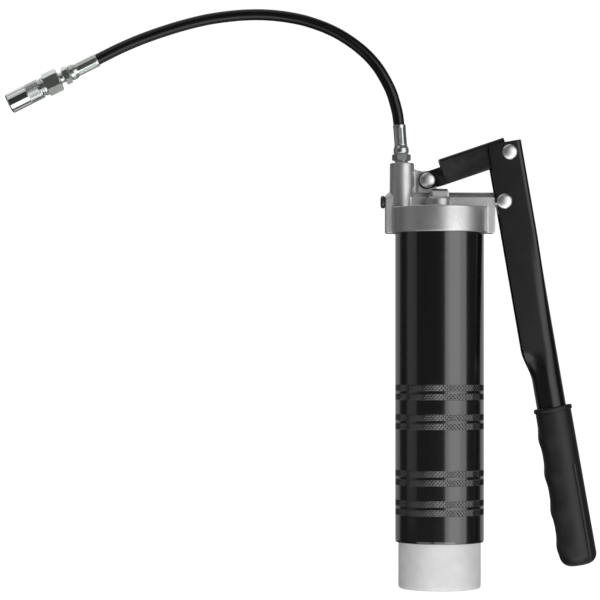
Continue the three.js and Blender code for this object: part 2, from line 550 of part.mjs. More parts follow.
// Made in its own frame: the lever pivot at the origin, Z up along the lever, X towards the web.
function lever() {
  const depth = (LEVER_WEB - LEVER_EDGE) / 2;
  const middle = (LEVER_WEB + LEVER_EDGE) / 2;
  const section = (inset) => {
    const edge = LEVER_EDGE - (inset ? PAST : 0);
    const half = LEVER_HALF_WIDTH - inset;
    const web = LEVER_WEB - inset;
    const corner = LEVER_CORNER - inset;
    const shape = new THREE.Shape();
    shape.moveTo(edge, -half);
    shape.lineTo(web - corner, -half);
    shape.absarc(web - corner, -half + corner, corner, -Math.PI / 2, 0);
    shape.lineTo(web, half - corner);
    shape.absarc(web - corner, half - corner, corner, 0, Math.PI / 2);
    shape.lineTo(edge, half);
    return shape;
  };
  // Below the channel the section turns from a rounded box into a circle.
  const tubeAt = (inset) => (angle, z, reach) => {
    const t = THREE.MathUtils.smoothstep(-z, -CHANNEL_END, -TUBE_START);
    const a = THREE.MathUtils.lerp(depth, TUBE_RADIUS, t) - inset;
    const b = THREE.MathUtils.lerp(LEVER_HALF_WIDTH, TUBE_RADIUS, t) - inset;
    const power = THREE.MathUtils.lerp(7, 2, Math.sqrt(t));
    const c = Math.abs(Math.cos(angle) / a) ** power + Math.abs(Math.sin(angle) / b) ** power;
    const r = reach * c ** (-1 / power);
    const centre = THREE.MathUtils.lerp(middle, TUBE_OFFSET, t);
    return [centre + r * Math.cos(angle), r * Math.sin(angle)];
  };
  const channel = standing(section(0), [CHANNEL_END, LEVER_TOP]);
  const neck = morphed(tubeAt(0), [TUBE_START - PAST, CHANNEL_END + 0.01], 6);
  const tube = rod(TUBE_RADIUS, TUBE_END, TUBE_START, 36).translate([TUBE_OFFSET, 0, 0]);
  const channelHollow = standing(section(SHEET), [CHANNEL_END + 4 * PAST, LEVER_TOP + PAST]);
  const neckHollow = morphed(tubeAt(SHEET), [TUBE_START - PAST, CHANNEL_END + 5 * PAST], 8);
  const tubeHollow = rod(TUBE_RADIUS - SHEET, TUBE_END - PAST, TUBE_START, 36).translate([TUBE_OFFSET, 0, 0]);
  // The open side of the channel narrows to a slit where the sheet closes.
  const open = LEVER_HALF_WIDTH - SHEET;
  const slitEnd = TUBE_START + LEVER_SLIT.reach;
  const mouth = polygon([
    [CHANNEL_END + LEVER_SLIT.start, -open], [CHANNEL_END + LEVER_SLIT.start, open],
    [CHANNEL_END - PAST, open], [slitEnd, LEVER_SLIT.half], [slitEnd, -LEVER_SLIT.half],
    [CHANNEL_END - PAST, -open],
  ]);
  const slit = standing(mouth, [0, depth + PAST]).rotate([0, -90, 0]).translate([middle, 0, 0]);
  const height = [TUBE_END - THROUGH, LEVER_TOP];
  const profile = roundedRectangle([LEVER_EDGE, LEVER_WEB + THROUGH], height, LEVER_CORNER);
  const ends = plate(profile, [-THROUGH, THROUGH], 4);
  const hole = linkageHole();
  const plungerPin = toLever(PLUNGER_PIVOT);
  const body = channel.add(neck).add(tube).subtract(channelHollow).subtract(neckHollow)
    .subtract(tubeHollow).subtract(slit).intersect(ends).subtract(hole)
    .subtract(hole.translate([plungerPin.x, 0, plungerPin.z]));
  return meshOf("lever", body, material(0x131314, 0.42, 0.2));
}

// A point of the linkage plane in the lever's own frame.
function toLever(point) {
  const x = point.x - LEVER_PIVOT.x;
  const z = point.z - LEVER_PIVOT.z;
  return {
    x: x * Math.cos(LEVER_TILT) + z * Math.sin(LEVER_TILT),
    z: -x * Math.sin(LEVER_TILT) + z * Math.cos(LEVER_TILT),
  };
}

// The grip has low finger ridges on the side that faces the barrel.
function grip() {
  const taper = (z) => GRIP_RADIUS + GRIP_TAPER * (z - GRIP_TOP) / (GRIP_END - GRIP_TOP);
  const section = (angle, z, reach) => {
    const place = (GRIP_RIDGE_FIRST - z) / GRIP_RIDGE_SPACING;
    const nearest = THREE.MathUtils.clamp(Math.round(place), 0, GRIP_RIDGES - 1);
    const off = Math.min(0.5, Math.abs(place - nearest));
    const facing = Math.max(0, -Math.cos(angle));
    const ridge = GRIP_RIDGE_RISE * facing * Math.cos(Math.PI * off) ** 4;
    const r = reach * (taper(z) + ridge);
    return [r * Math.cos(angle), r * Math.sin(angle)];
  };
  const roundStart = GRIP_END + GRIP_END_ROUND;
  const endRadius = taper(roundStart);
  const endProfile = [[0, roundStart], [endRadius, roundStart]];
  for (let i = 1; i <= 5; i++) {
    const angle = i / 5 * Math.PI / 2;
    const inset = GRIP_END_ROUND * (1 - Math.cos(angle));
    endProfile.push([endRadius - inset, roundStart - GRIP_END_ROUND * Math.sin(angle)]);
  }
  endProfile.push([0, GRIP_END]);
  const body = morphed(section, [roundStart, GRIP_TOP - PAST], GRIP_STEPS, 24);
  const rim = lathe([
    [0, GRIP_TOP - GRIP_RIM_HEIGHT], [GRIP_RIM_RADIUS - 0.5, GRIP_TOP - GRIP_RIM_HEIGHT],
    [GRIP_RIM_RADIUS, GRIP_TOP - GRIP_RIM_HEIGHT / 2], [GRIP_RIM_RADIUS - 0.5, GRIP_TOP], [0, GRIP_TOP],
  ], 32);
  const hollow = rod(TUBE_RADIUS + GAP, TUBE_END - GAP, GRIP_TOP + PAST, 32).translate([TUBE_OFFSET, 0, 0]);
  const whole = body.add(lathe(endProfile, 24)).add(rim).subtract(hollow);
  return meshOf("grip", whole, material(0x17181a, 0.75, 0));
}

function hose() {
  const path = new THREE.CatmullRomCurve3(HOSE_ROUTE.map(([x, z]) => new THREE.Vector3(x, 0, z)));
  const section = new THREE.Shape();
  for (let i = 0; i < HOSE_SIDES; i++) {
    const angle = i / HOSE_SIDES * 2 * Math.PI;
    const point = [HOSE_RADIUS * Math.cos(angle), HOSE_RADIUS * Math.sin(angle)];
    if (i === 0) section.moveTo(...point);
    else section.lineTo(...point);
  }
  const options = { extrudePath: path, steps: HOSE_STEPS, bevelEnabled: false };
  return meshOf("hose", solid(new THREE.ExtrudeGeometry(section, options)), material(0x101113, 0.4, 0));
}

// The adapter that screws into the outlet boss, with its hexagon.
function hoseAdapter() {
  const { start, end, acrossCorners } = ADAPTER_HEX;
  const shank = rod(NIPPLE_RADIUS, NIPPLE_BOTTOM + GAP, start + PAST);
  const hex = hexagon(acrossCorners, start, end);
  const bore = rod(FLOW_BORE_RADIUS, NIPPLE_BOTTOM - PAST, end + PAST, 16);
  const body = shank.add(hex).subtract(bore);
  return meshOf("hose_adapter", body.translate([OUTLET_X, 0, 0]), material(0xb9c0b6, 0.3, 1));
}

// A crimped ferrule: a collar next to the hexagon, then the long crimp over the hose.
function ferrule(name, length) {
  const collar = FERRULE_COLLAR;
  const body = lathe([
    [FLOW_BORE_RADIUS, 0], [collar.radius - 0.7, 0], [collar.radius, collar.start], [collar.radius, collar.end],
    [FERRULE_RADIUS, collar.foot], [FERRULE_RADIUS, length - FERRULE_EDGE],
    [FERRULE_RADIUS - FERRULE_EDGE, length], [FLOW_BORE_RADIUS, length], [FLOW_BORE_RADIUS, 0],
  ], 24);
  return meshOf(name, body, material(0xb9c0b6, 0.35, 1));
}

function couplerBody() {
  const [nut, hex] = [COUPLER_NUT, COUPLER_HEX];
  const stem = rod(COUPLER_NECK_RADIUS, nut.end - PAST, hex.start + PAST);
  const collar = rod(COUPLER_COLLAR_RADIUS, hex.end - PAST, SLEEVE_START - GAP);
  const tube = rod(COUPLER_TUBE.radius, hex.end, COUPLER_TUBE.end);
  const bore = rod(FLOW_BORE_RADIUS, nut.start - PAST, COUPLER_TUBE.end + PAST, 16);
  const body = hexagon(nut.acrossCorners, nut.start, nut.end).add(stem)
    .add(hexagon(hex.acrossCorners, hex.start, hex.end)).add(collar).add(tube).subtract(bore);
  return meshOf("coupler_body", body, material(0xb9c0bc, 0.28, 1));
}

function couplerSleeve() {
  const [lip, cone] = SLEEVE_MOUTH_DEPTH;
  const body = lathe([
    [SLEEVE_THREAD_RADIUS, SLEEVE_START], [SLEEVE_RADIUS - 0.4, SLEEVE_START],
    [SLEEVE_RADIUS, SLEEVE_START + 0.5], [SLEEVE_RADIUS, COUPLER_LENGTH - 0.7],
    [SLEEVE_RADIUS - 0.5, COUPLER_LENGTH], [SLEEVE_MOUTH_RADIUS, COUPLER_LENGTH],
    [SLEEVE_MOUTH_RADIUS, COUPLER_LENGTH - lip], [SLEEVE_BORE.radius, COUPLER_LENGTH - cone],
    [SLEEVE_BORE.radius, SLEEVE_BORE.start], [SLEEVE_THREAD_RADIUS, SLEEVE_BORE.start],
    [SLEEVE_THREAD_RADIUS, SLEEVE_START],
  ], 36);
  return meshOf("coupler_sleeve", body, material(0xc2c8c8, 0.2, 1));
}

function couplerJaw(index) {
  const [low, high] = JAW_SPAN;
  const segments = 5;
  const start = index * 2 * Math.PI / JAW_COUNT - JAW_ARC / 2;
  const inner = [];
  const outer = [];
  for (let i = 0; i <= segments; i++) {
    const angle = start + JAW_ARC * i / segments;
    inner.push([JAW_INNER_RADIUS * Math.cos(angle), JAW_INNER_RADIUS * Math.sin(angle)]);
    outer.unshift([JAW_OUTER_RADIUS * Math.cos(angle), JAW_OUTER_RADIUS * Math.sin(angle)]);
  }
  const block = standing(polygon([...inner, ...outer]), [low, high]);
  const wide = JAW_TIP.radius + JAW_TIP.length;
  const cone = lathe([[0, low - PAST], [wide, low - PAST], [wide, high - JAW_TIP.length],
    [JAW_TIP.radius, high], [0, high]], 36);
  return meshOf(`coupler_jaw_${index + 1}`, block.intersect(cone), material(0x8f9496, 0.3, 1));
}

function couplerSeal() {
  const body = lathe(ringProfile(FLOW_BORE_RADIUS, JAW_OUTER_RADIUS, ...COUPLER_SEAL_SPAN), 28);
  return meshOf("coupler_seal", body, material(0x202020, 0.7, 0));
}

// A group whose origin is a point of the linkage plane, turned about Y.
function frameAt(point, turn) {
  const group = new THREE.Group();
  group.position.set(point.x, 0, point.z);
  group.rotation.y = turn;
  return group;
}

function pinAt(name, point, halfWidth) {
  const pin = rivet(name, halfWidth);
  pin.position.set(point.x, 0, point.z);
  return pin;
}

const gun = new THREE.Group();
gun.add(headCasting(), barrel(), cartridge(), followerPiston(), neckGasket());
gun.add(pumpPlunger(), plungerSeal(), glandRing(), endPlug(), checkBall(), checkSpring(), bleedValve());
gun.add(pinAt("link_pin", LINK_PIVOT, LINK_EAR_HALF_WIDTH));
gun.add(pinAt("lever_pin", LEVER_PIVOT, LEVER_HALF_WIDTH));
gun.add(pinAt("plunger_pin", PLUNGER_PIVOT, LEVER_HALF_WIDTH));

const linkFrame = frameAt(LINK_PIVOT, -LINK_TILT);
linkFrame.add(link());
const leverFrame = frameAt(LEVER_PIVOT, -LEVER_TILT);
leverFrame.add(lever(), grip());

const gunFerrule = ferrule("ferrule_gun_end", FERRULE_LENGTH);
gunFerrule.position.set(OUTLET_X, 0, FERRULE_BASE_Z);
gunFerrule.rotation.y = FERRULE_TILT;

// The coupler's frame has its origin where the hose ends and Z towards the nose.
const couplerOrigin = {
  x: COUPLER_FRONT.x - COUPLER_LENGTH * Math.sin(COUPLER_TURN),
  z: COUPLER_FRONT.z - COUPLER_LENGTH * Math.cos(COUPLER_TURN),
};
const couplerFrame = frameAt(couplerOrigin, COUPLER_TURN);
const farFerrule = ferrule("ferrule_coupler_end", COUPLER_NUT.start - GAP);
farFerrule.rotation.x = Math.PI;
farFerrule.position.z = COUPLER_NUT.start - GAP;
couplerFrame.add(farFerrule, couplerBody(), couplerSleeve(), couplerSeal());
for (let i = 0; i < JAW_COUNT; i++) couplerFrame.add(couplerJaw(i));

gun.add(linkFrame, leverFrame, hoseAdapter(), gunFerrule, hose(), couplerFrame);
export default gun;
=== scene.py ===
# %% [markdown]
# A lever grease gun, dressed for its portrait.
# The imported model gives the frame: where each piece lies, how big it is and what it moves with.
# Everything below builds the fine surfaces round that frame, in metres, with +Z up.

# %% The frame
import json
import math

import bpy
import bmesh
from mathutils import Matrix, Vector


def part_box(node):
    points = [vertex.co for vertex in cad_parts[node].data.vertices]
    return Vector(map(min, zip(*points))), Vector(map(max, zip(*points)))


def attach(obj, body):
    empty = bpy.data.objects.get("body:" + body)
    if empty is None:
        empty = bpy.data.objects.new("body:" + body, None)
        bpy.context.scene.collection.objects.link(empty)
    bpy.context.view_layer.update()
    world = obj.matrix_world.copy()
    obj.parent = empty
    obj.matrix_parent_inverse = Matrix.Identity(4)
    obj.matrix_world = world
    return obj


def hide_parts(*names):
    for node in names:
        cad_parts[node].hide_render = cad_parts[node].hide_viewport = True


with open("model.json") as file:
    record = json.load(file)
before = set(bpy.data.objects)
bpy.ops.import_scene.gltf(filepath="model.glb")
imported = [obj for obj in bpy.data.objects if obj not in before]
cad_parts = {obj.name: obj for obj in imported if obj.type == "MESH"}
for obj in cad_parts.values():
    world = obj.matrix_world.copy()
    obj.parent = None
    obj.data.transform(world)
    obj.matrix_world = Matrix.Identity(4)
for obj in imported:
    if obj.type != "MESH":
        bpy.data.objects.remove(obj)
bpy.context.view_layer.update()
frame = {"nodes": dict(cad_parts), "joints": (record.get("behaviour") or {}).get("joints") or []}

joints = {joint["name"]: joint for joint in frame["joints"]}
MM = 0.001
print("pieces in the frame:", len(frame["nodes"]))

# %% [markdown]
# The camera comes first, because a free hose has to lie inside its view.
# A product portrait is taken from far away with a long lens, so that the tall barrel doesn't taper.
# The camera stays level, and the lens shift lifts the picture without tilting the verticals.

# %% The camera
CAMERA_DISTANCE = 1.5
VIEW_WIDTH = 0.390
SENSOR = 36
camera = bpy.data.objects.new("camera", bpy.data.cameras.new("camera"))
camera.location = (-0.0907, -CAMERA_DISTANCE, 0.1443)
camera.rotation_euler = (math.pi / 2, 0, 0)
camera.data.sensor_width = SENSOR
camera.data.lens = SENSOR * CAMERA_DISTANCE / VIEW_WIDTH
camera.data.shift_y = 0.11
camera.data.clip_end = 50
bpy.context.scene.collection.objects.link(camera)
bpy.context.scene.camera = camera
print("lens", round(camera.data.lens, 1), "mm")

# %% [markdown]
# Most pieces of the gun are turned on a lathe or swept along a line, so they are all skins:
# rings of points, each joined to the next. A ring of one point closes an end like the tip of a cone.
# One helper makes every such mesh, and smooth shading stops at sharp corners. A bent four-sided face, as in a
# knurl, can fold along either diagonal. It is folded along the one that lies further in, so that the fold is
# a groove and not a ridge.


# %% Meshes from rings
FLAT_ENOUGH = 1e-6


def new_object(name, mesh, place=None):
    piece = bpy.data.objects.new(name, mesh)
    bpy.context.scene.collection.objects.link(piece)
    if place is not None:
        piece.matrix_world = place
    return piece


def shade(mesh, angle=38):
    for face in mesh.polygons:
        face.use_smooth = True
    mesh.set_sharp_from_angle(angle=math.radians(angle))


def folded(corners):
    if len(corners) == 3:
        return [corners]
    a, b, c, d = corners
    radii = [math.hypot(vert.co.x, vert.co.y) for vert in corners]
    bend = radii[0] + radii[2] - radii[1] - radii[3]
    if abs(bend) < FLAT_ENOUGH:
        return [corners]
    if bend < 0:
        return [[a, b, c], [a, c, d]]
    return [[b, c, d], [b, d, a]]


def skin(name, rings, place=None, loop=False, flat_angle=38):
    build = bmesh.new()
    made = [[build.verts.new(point) for point in ring] for ring in rings]
    pairs = list(zip(made, made[1:]))
    if loop:
        pairs.append((made[-1], made[0]))
    for low, high in pairs:
        count = max(len(low), len(high))
        for i in range(count):
            corners = []
            for ring, step in ((low, i), (low, i + 1), (high, i + 1), (high, i)):
                vert = ring[step % len(ring)]
                if vert not in corners:
                    corners.append(vert)
            if len(corners) > 2:
                for face in folded(corners):
                    build.faces.new(face)
    bmesh.ops.recalc_face_normals(build, faces=build.faces)
    mesh = bpy.data.meshes.new(name)
    build.to_mesh(mesh)
    build.free()
    shade(mesh, flat_angle)
    return new_object(name, mesh, place)


# %% [markdown]
# No real edge is perfectly sharp. A lathe outline is a list of (radius, height) corners, and a third number
# rounds that corner. The arc is short, but it catches the light, and that makes metal look like metal.


# %% Rounded outlines and turned pieces
def eased(outline, steps=4):
    closed = outline[0][:2] == outline[-1][:2]
    corners = outline[:-1] if closed else outline
    points = []
    for i, corner in enumerate(corners):
        at = Vector(corner[:2])
        radius = corner[2] if len(corner) > 2 else 0
        if not radius or (not closed and i in (0, len(corners) - 1)):
            points.append(tuple(at))
            continue
        before = Vector(corners[i - 1][:2]) - at
        after = Vector(corners[(i + 1) % len(corners)][:2]) - at
        half = before.angle(after) / 2
        reach = min(radius / math.tan(half), before.length * 0.49, after.length * 0.49)
        start = at + before.normalized() * reach
        end = at + after.normalized() * reach
        for k in range(steps + 1):
            t = k / steps
            points.append(tuple(start * (1 - t) ** 2 + at * 2 * t * (1 - t) + end * t * t))
    if closed:
        points.append(points[0])
    return points


def turned(name, outline, place=None, sides=96, shape=None, steps=4, flat_angle=38):
    points = eased(outline, steps)
    loop = points[0] == points[-1]
    if loop:
        points = points[:-1]
    rings = []
    for radius, height in points:
        if radius < 1e-7:
            rings.append([(0, 0, height)])
            continue
        ring = []
        for i in range(sides):
            angle = 2 * math.pi * i / sides
            reach = shape(angle, radius, height) if shape else radius
            ring.append((reach * math.cos(angle), reach * math.sin(angle), height))
        rings.append(ring)
    return skin(name, rings, place, loop, flat_angle)


def along_x(x, z, y=0.0):
    return Matrix.Translation((x, y, z)) @ Matrix.Rotation(math.pi / 2, 4, "Y")


def plane_frame(point, turn):
    return Matrix.Translation(point) @ Matrix.Rotation(turn, 4, "Y")


# %% [markdown]
# Sheet metal and castings are made by adding and cutting blocks. Here a block is an outline pushed through
# in one direction, and Blender's Boolean modifier joins or cuts it. The modifiers are applied at once, so
# each piece is one plain mesh.


# %% Blocks, cuts and applied modifiers
def applied(piece):
    graph = bpy.context.evaluated_depsgraph_get()
    mesh = bpy.data.meshes.new_from_object(piece.evaluated_get(graph), depsgraph=graph)
    piece.modifiers.clear()
    piece.data = mesh
    return piece


def block(outline, axis, low, high, name="block"):
    at_height = {
        "X": lambda a, b, height: (height, a, b),
        "Y": lambda a, b, height: (a, height, b),
        "Z": lambda a, b, height: (a, b, height),
    }[axis]
    build = bmesh.new()
    bottom = [build.verts.new(at_height(a, b, low)) for a, b in outline]
    top = [build.verts.new(at_height(a, b, high)) for a, b in outline]
    build.faces.new(bottom)
    build.faces.new(top)
    for i in range(len(outline)):
        j = (i + 1) % len(outline)
        build.faces.new((bottom[i], bottom[j], top[j], top[i]))
    bmesh.ops.recalc_face_normals(build, faces=build.faces)
    mesh = bpy.data.meshes.new(name)
    build.to_mesh(mesh)
    build.free()
    return new_object(name, mesh)


def boolean(piece, others, operation):
    for other in others:
        modifier = piece.modifiers.new("boolean", "BOOLEAN")
        modifier.operation = operation
        modifier.solver = "EXACT"
        modifier.object = other
        applied(piece)
        bpy.data.objects.remove(other)
    return piece


def arc(centre, radius, start, end, steps=8):
    angles = [math.radians(start + (end - start) * i / steps) for i in range(steps + 1)]
    return [(centre[0] + radius * math.cos(a), centre[1] + radius * math.sin(a)) for a in angles]


def rounded_box(low, high, radius, steps=5):
    return (arc((high[0] - radius, low[1] + radius), radius, -90, 0, steps)
            + arc((high[0] - radius, high[1] - radius), radius, 0, 90, steps)
            + arc((low[0] + radius, high[1] - radius), radius, 90, 180, steps)
            + arc((low[0] + radius, low[1] + radius), radius, 180, 270, steps))


# %% [markdown]
# Before a piece is done, it gets its last touches. A bevel takes its edges off, and weighted normals let the
# long faces look flat next to such small bevels. Then it takes its material and the frame's facts: which body
# carries it and which imported node it replaces.


# %% Bevels, normals and the tie to the frame
def softened(piece, width, segments=3, angle=30):
    modifier = piece.modifiers.new("bevel", "BEVEL")
    modifier.width = width
    modifier.segments = segments
    modifier.limit_method = "ANGLE"
    modifier.angle_limit = math.radians(angle)
    modifier.harden_normals = False
    applied(piece)
    shade(piece.data)
    return piece


def finished(piece, body, slot, material, *nodes):
    if piece.type == "MESH":
        modifier = piece.modifiers.new("weighted normals", "WEIGHTED_NORMAL")
        modifier.keep_sharp = True
        applied(piece)
    piece.data.materials.clear()
    piece.data.materials.append(material)
    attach(piece, body)
    if nodes:
        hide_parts(*nodes)
    return piece


# %% [markdown]
# Materials share a few effects: a fine grain, cloudy unevenness, lathe rings and worn edges.
# Each effect is a node group, built once, with its scale and strength as inputs, so a learner can reuse it.
# The groups put out masks and heights only. The shader itself stays in each material.


# %% A small helper for node trees
def add_node(tree, kind, inputs=None, **settings):
    node = tree.nodes.new(kind)
    for name, value in settings.items():
        setattr(node, name, value)
    for name, value in (inputs or {}).items():
        if isinstance(value, bpy.types.NodeSocket):
            tree.links.new(value, node.inputs[name])
        else:
            node.inputs[name].default_value = value
    return node


def effect_group(name, inputs, outputs):
    tree = bpy.data.node_groups.new(name, "ShaderNodeTree")
    for label, default in inputs:
        socket = tree.interface.new_socket(label, in_out="INPUT", socket_type="NodeSocketFloat")
        socket.default_value = default
    for label in outputs:
        tree.interface.new_socket(label, in_out="OUTPUT", socket_type="NodeSocketFloat")
    return tree, tree.nodes.new("NodeGroupInput"), tree.nodes.new("NodeGroupOutput")


# %% [markdown]
# Grain is the fine tooth of a blasted casting, a moulded plastic or a rubber. Two noises of different size
# give it, because one noise alone looks like a regular pattern. Clouds are the slow unevenness of the same
# surface, which shows as a slightly changing gloss. Both sizes are in millimetres.

# %% The grain group
grain, grain_in, grain_out = effect_group("grain", [("Size", 0.4), ("Clouds", 12.0)], ["Height", "Cloud"])
grain_place = add_node(grain, "ShaderNodeTexCoord")
per_metre = add_node(grain, "ShaderNodeMath", {0: 1000.0, 1: grain_in.outputs["Size"]}, operation="DIVIDE")
fine = add_node(grain, "ShaderNodeTexNoise", {"Vector": grain_place.outputs["Object"],
                "Scale": per_metre.outputs[0], "Detail": 3.0, "Roughness": 0.6})
pits_scale = add_node(grain, "ShaderNodeMath", {0: per_metre.outputs[0], 1: 0.45}, operation="MULTIPLY")
pits = add_node(grain, "ShaderNodeTexVoronoi", {"Vector": grain_place.outputs["Object"],
                "Scale": pits_scale.outputs[0]}, feature="SMOOTH_F1")
mixed = add_node(grain, "ShaderNodeMath", {0: fine.outputs["Fac"], 1: pits.outputs["Distance"], 2: 0.0},
                 operation="MULTIPLY_ADD")
cloud_scale = add_node(grain, "ShaderNodeMath", {0: 1000.0, 1: grain_in.outputs["Clouds"]},
                       operation="DIVIDE")
cloud = add_node(grain, "ShaderNodeTexNoise", {"Vector": grain_place.outputs["Object"],
                 "Scale": cloud_scale.outputs[0], "Detail": 4.0, "Roughness": 0.55})
grain.links.new(mixed.outputs[0], grain_out.inputs["Height"])
grain.links.new(cloud.outputs["Fac"], grain_out.inputs["Cloud"])

# %% [markdown]
# Wear takes the finish off raised edges first. Pointiness, which Blender works out from the mesh, is high on
# such edges. A noise breaks the mask up, so that the wear comes and goes along an edge.

# %% The worn edge group
wear, wear_in, wear_out = effect_group("worn edges", [("Start", 0.53), ("End", 0.6)], ["Mask"])
geometry = add_node(wear, "ShaderNodeNewGeometry")
wear_place = add_node(wear, "ShaderNodeTexCoord")
patchy = add_node(wear, "ShaderNodeTexNoise", {"Vector": wear_place.outputs["Object"], "Scale": 260.0,
                  "Detail": 4.0})
edge = add_node(wear, "ShaderNodeMapRange", {"Value": geometry.outputs["Pointiness"],
                "From Min": wear_in.outputs["Start"], "From Max": wear_in.outputs["End"]})
broken = add_node(wear, "ShaderNodeMath", {0: edge.outputs[0], 1: patchy.outputs["Fac"]},
                  operation="MULTIPLY")
wear.links.new(broken.outputs[0], wear_out.inputs["Mask"])

# %% [markdown]
# A piece turned on a lathe keeps faint rings from the tool. They follow the height along the piece's own
# axis, so the same group serves the ferrules, the plunger and the pins.

# %% The lathe ring group
rings_group, rings_in, rings_out = effect_group("lathe rings", [("Pitch", 0.25)], ["Height"])
rings_place = add_node(rings_group, "ShaderNodeTexCoord")
parts = add_node(rings_group, "ShaderNodeSeparateXYZ", {0: rings_place.outputs["Object"]})
turns = add_node(rings_group, "ShaderNodeMath", {0: 2000 * math.pi, 1: rings_in.outputs["Pitch"]},
                 operation="DIVIDE")
phase = add_node(rings_group, "ShaderNodeMath", {0: parts.outputs["Z"], 1: turns.outputs[0]},
                 operation="MULTIPLY")
ripple = add_node(rings_group, "ShaderNodeMath", {0: phase.outputs[0]}, operation="SINE")
rings_group.links.new(ripple.outputs[0], rings_out.inputs["Height"])


# %% [markdown]
# Every material starts the same way: a Principled shader, the grain group for its tooth and its clouds, and a
# bump. The function below makes that base, and each material then adds what is its own.


# %% The base of every material
def base_material(name, colour, roughness, metallic=0.0, size=0.4, clouds=12.0, tooth=0.02, uneven=0.08,
                  second=None, speckle=0.0):
    material = bpy.data.materials.new(name)
    material.use_nodes = True
    tree = material.node_tree
    shader = tree.nodes["Principled BSDF"]
    shader.inputs["Metallic"].default_value = metallic
    surface = add_node(tree, "ShaderNodeGroup", node_tree=grain)
    surface.inputs["Size"].default_value = size
    surface.inputs["Clouds"].default_value = clouds
    blend = add_node(tree, "ShaderNodeMath", {0: surface.outputs["Height"], 1: speckle,
                     2: surface.outputs["Cloud"]}, operation="MULTIPLY_ADD")
    tint = add_node(tree, "ShaderNodeMix", {"Factor": blend.outputs[0]}, data_type="RGBA")
    tint.inputs["A"].default_value = (*colour, 1)
    tint.inputs["B"].default_value = (*(second or [c * 0.82 for c in colour]), 1)
    tree.links.new(tint.outputs["Result"], shader.inputs["Base Color"])
    gloss = add_node(tree, "ShaderNodeMapRange", {"Value": surface.outputs["Cloud"], "From Min": 0.3,
                     "From Max": 0.7, "To Min": roughness - uneven / 2, "To Max": roughness + uneven / 2})
    tree.links.new(gloss.outputs[0], shader.inputs["Roughness"])
    bump = add_node(tree, "ShaderNodeBump", {"Height": surface.outputs["Height"], "Strength": 1.0,
                    "Distance": tooth * MM})
    tree.links.new(bump.outputs["Normal"], shader.inputs["Normal"])
    print("material", name)
    return material, tree, shader, surface, tint, bump


def add_wear(tree, shader, tint, bare, start=0.53, end=0.6):
    worn = add_node(tree, "ShaderNodeGroup", node_tree=wear)
    worn.inputs["Start"].default_value = start
    worn.inputs["End"].default_value = end
    mixed_colour = add_node(tree, "ShaderNodeMix", {"Factor": worn.outputs["Mask"]}, data_type="RGBA")
    tree.links.new(tint.outputs["Result"], mixed_colour.inputs["A"])
    mixed_colour.inputs["B"].default_value = (*bare, 1)
    tree.links.new(mixed_colour.outputs["Result"], shader.inputs["Base Color"])


def add_height(tree, bump, socket, share):
    total = add_node(tree, "ShaderNodeMath", {0: socket, 1: share}, operation="MULTIPLY_ADD")
    tree.links.new(bump.inputs["Height"].links[0].from_socket, total.inputs[2])
    tree.links.new(total.outputs[0], bump.inputs["Height"])


# %% [markdown]
# The head is a die casting, blasted after trimming: an even, pale grey metal with a soft, grainy gloss.

# %% Cast aluminium
cast_metal, tree, shader, _, tint, _ = base_material(
    "cast aluminium", (0.86, 0.86, 0.87), 0.44, metallic=0.94, size=0.62, clouds=9, tooth=0.045,
    second=(0.68, 0.68, 0.69), speckle=1.1)
add_wear(tree, shader, tint, (0.92, 0.92, 0.93), 0.52, 0.62)

# %% [markdown]
# The barrel is steel tube with a thick gloss enamel. The enamel is never quite flat: it flows a little before
# it hardens, so reflections wander. A clear coat on a dark base gives that depth.

# %% Barrel enamel
enamel, _, shader, *_ = base_material(
    "barrel enamel", (0.006, 0.006, 0.0065), 0.2, size=5.0, clouds=30, tooth=0.012, uneven=0.05)
shader.inputs["Specular IOR Level"].default_value = 1.0
shader.inputs["Coat Weight"].default_value = 1.0
shader.inputs["Coat Roughness"].default_value = 0.1

# %% [markdown]
# Link and lever wear a thinner, satin black coating, baked on, which hides less of the steel under it.
# The coating thins on corners, and a dark grey shows there.

# %% Satin black coating
coating, tree, shader, _, tint, _ = base_material(
    "satin black coating", (0.006, 0.006, 0.0065), 0.23, size=0.7, clouds=16, tooth=0.006, uneven=0.05,
    second=(0.005, 0.005, 0.0055))
shader.inputs["Specular IOR Level"].default_value = 0.6
add_wear(tree, shader, tint, (0.06, 0.06, 0.062), 0.54, 0.64)

# %% [markdown]
# Three rubbers: the grip is matt and slightly dusty, the hose cover is smoother, with a satin shine, and the
# seals inside are dull and black.

# %% Rubbers
grip_rubber, *_ = base_material(
    "grip rubber", (0.006, 0.0063, 0.007), 0.48, size=0.55, clouds=14, tooth=0.02, uneven=0.1,
    second=(0.009, 0.0093, 0.010))

hose_rubber, _, shader, *_ = base_material(
    "hose rubber", (0.004, 0.0042, 0.005), 0.25, size=0.8, clouds=20, tooth=0.012, uneven=0.1,
    second=(0.006, 0.0062, 0.007))
shader.inputs["Specular IOR Level"].default_value = 0.5

seal_rubber, *_ = base_material("seal rubber", (0.03, 0.03, 0.03), 0.7, size=0.5, tooth=0.02)

# %% [markdown]
# The cartridge is blown from a milky plastic. Its walls let some light in, and their uneven thickness and the
# pale grease behind them show as soft clouds.

# %% Frosted plastic
frosted, _, shader, *_ = base_material(
    "frosted plastic", (0.92, 0.92, 0.92), 0.42, size=1.2, clouds=11, tooth=0.015, uneven=0.1,
    second=(0.66, 0.665, 0.665))
shader.inputs["Subsurface Weight"].default_value = 0.3
shader.inputs["Subsurface Radius"].default_value = (0.004, 0.004, 0.004)
shader.inputs["Subsurface Scale"].default_value = 1.0

piston_plastic, *_ = base_material("piston plastic", (0.5, 0.52, 0.53), 0.5, size=0.8, tooth=0.02)

# %% [markdown]
# The fittings are steel with a zinc plate. Zinc is a little softer in its shine than chrome, and the
# passivation leaves a trace of green. The coupler's sleeve is plated brighter, so its front is a mirror.
# All these steels come off a lathe, so one function gives them lathe rings of their own pitch and depth.


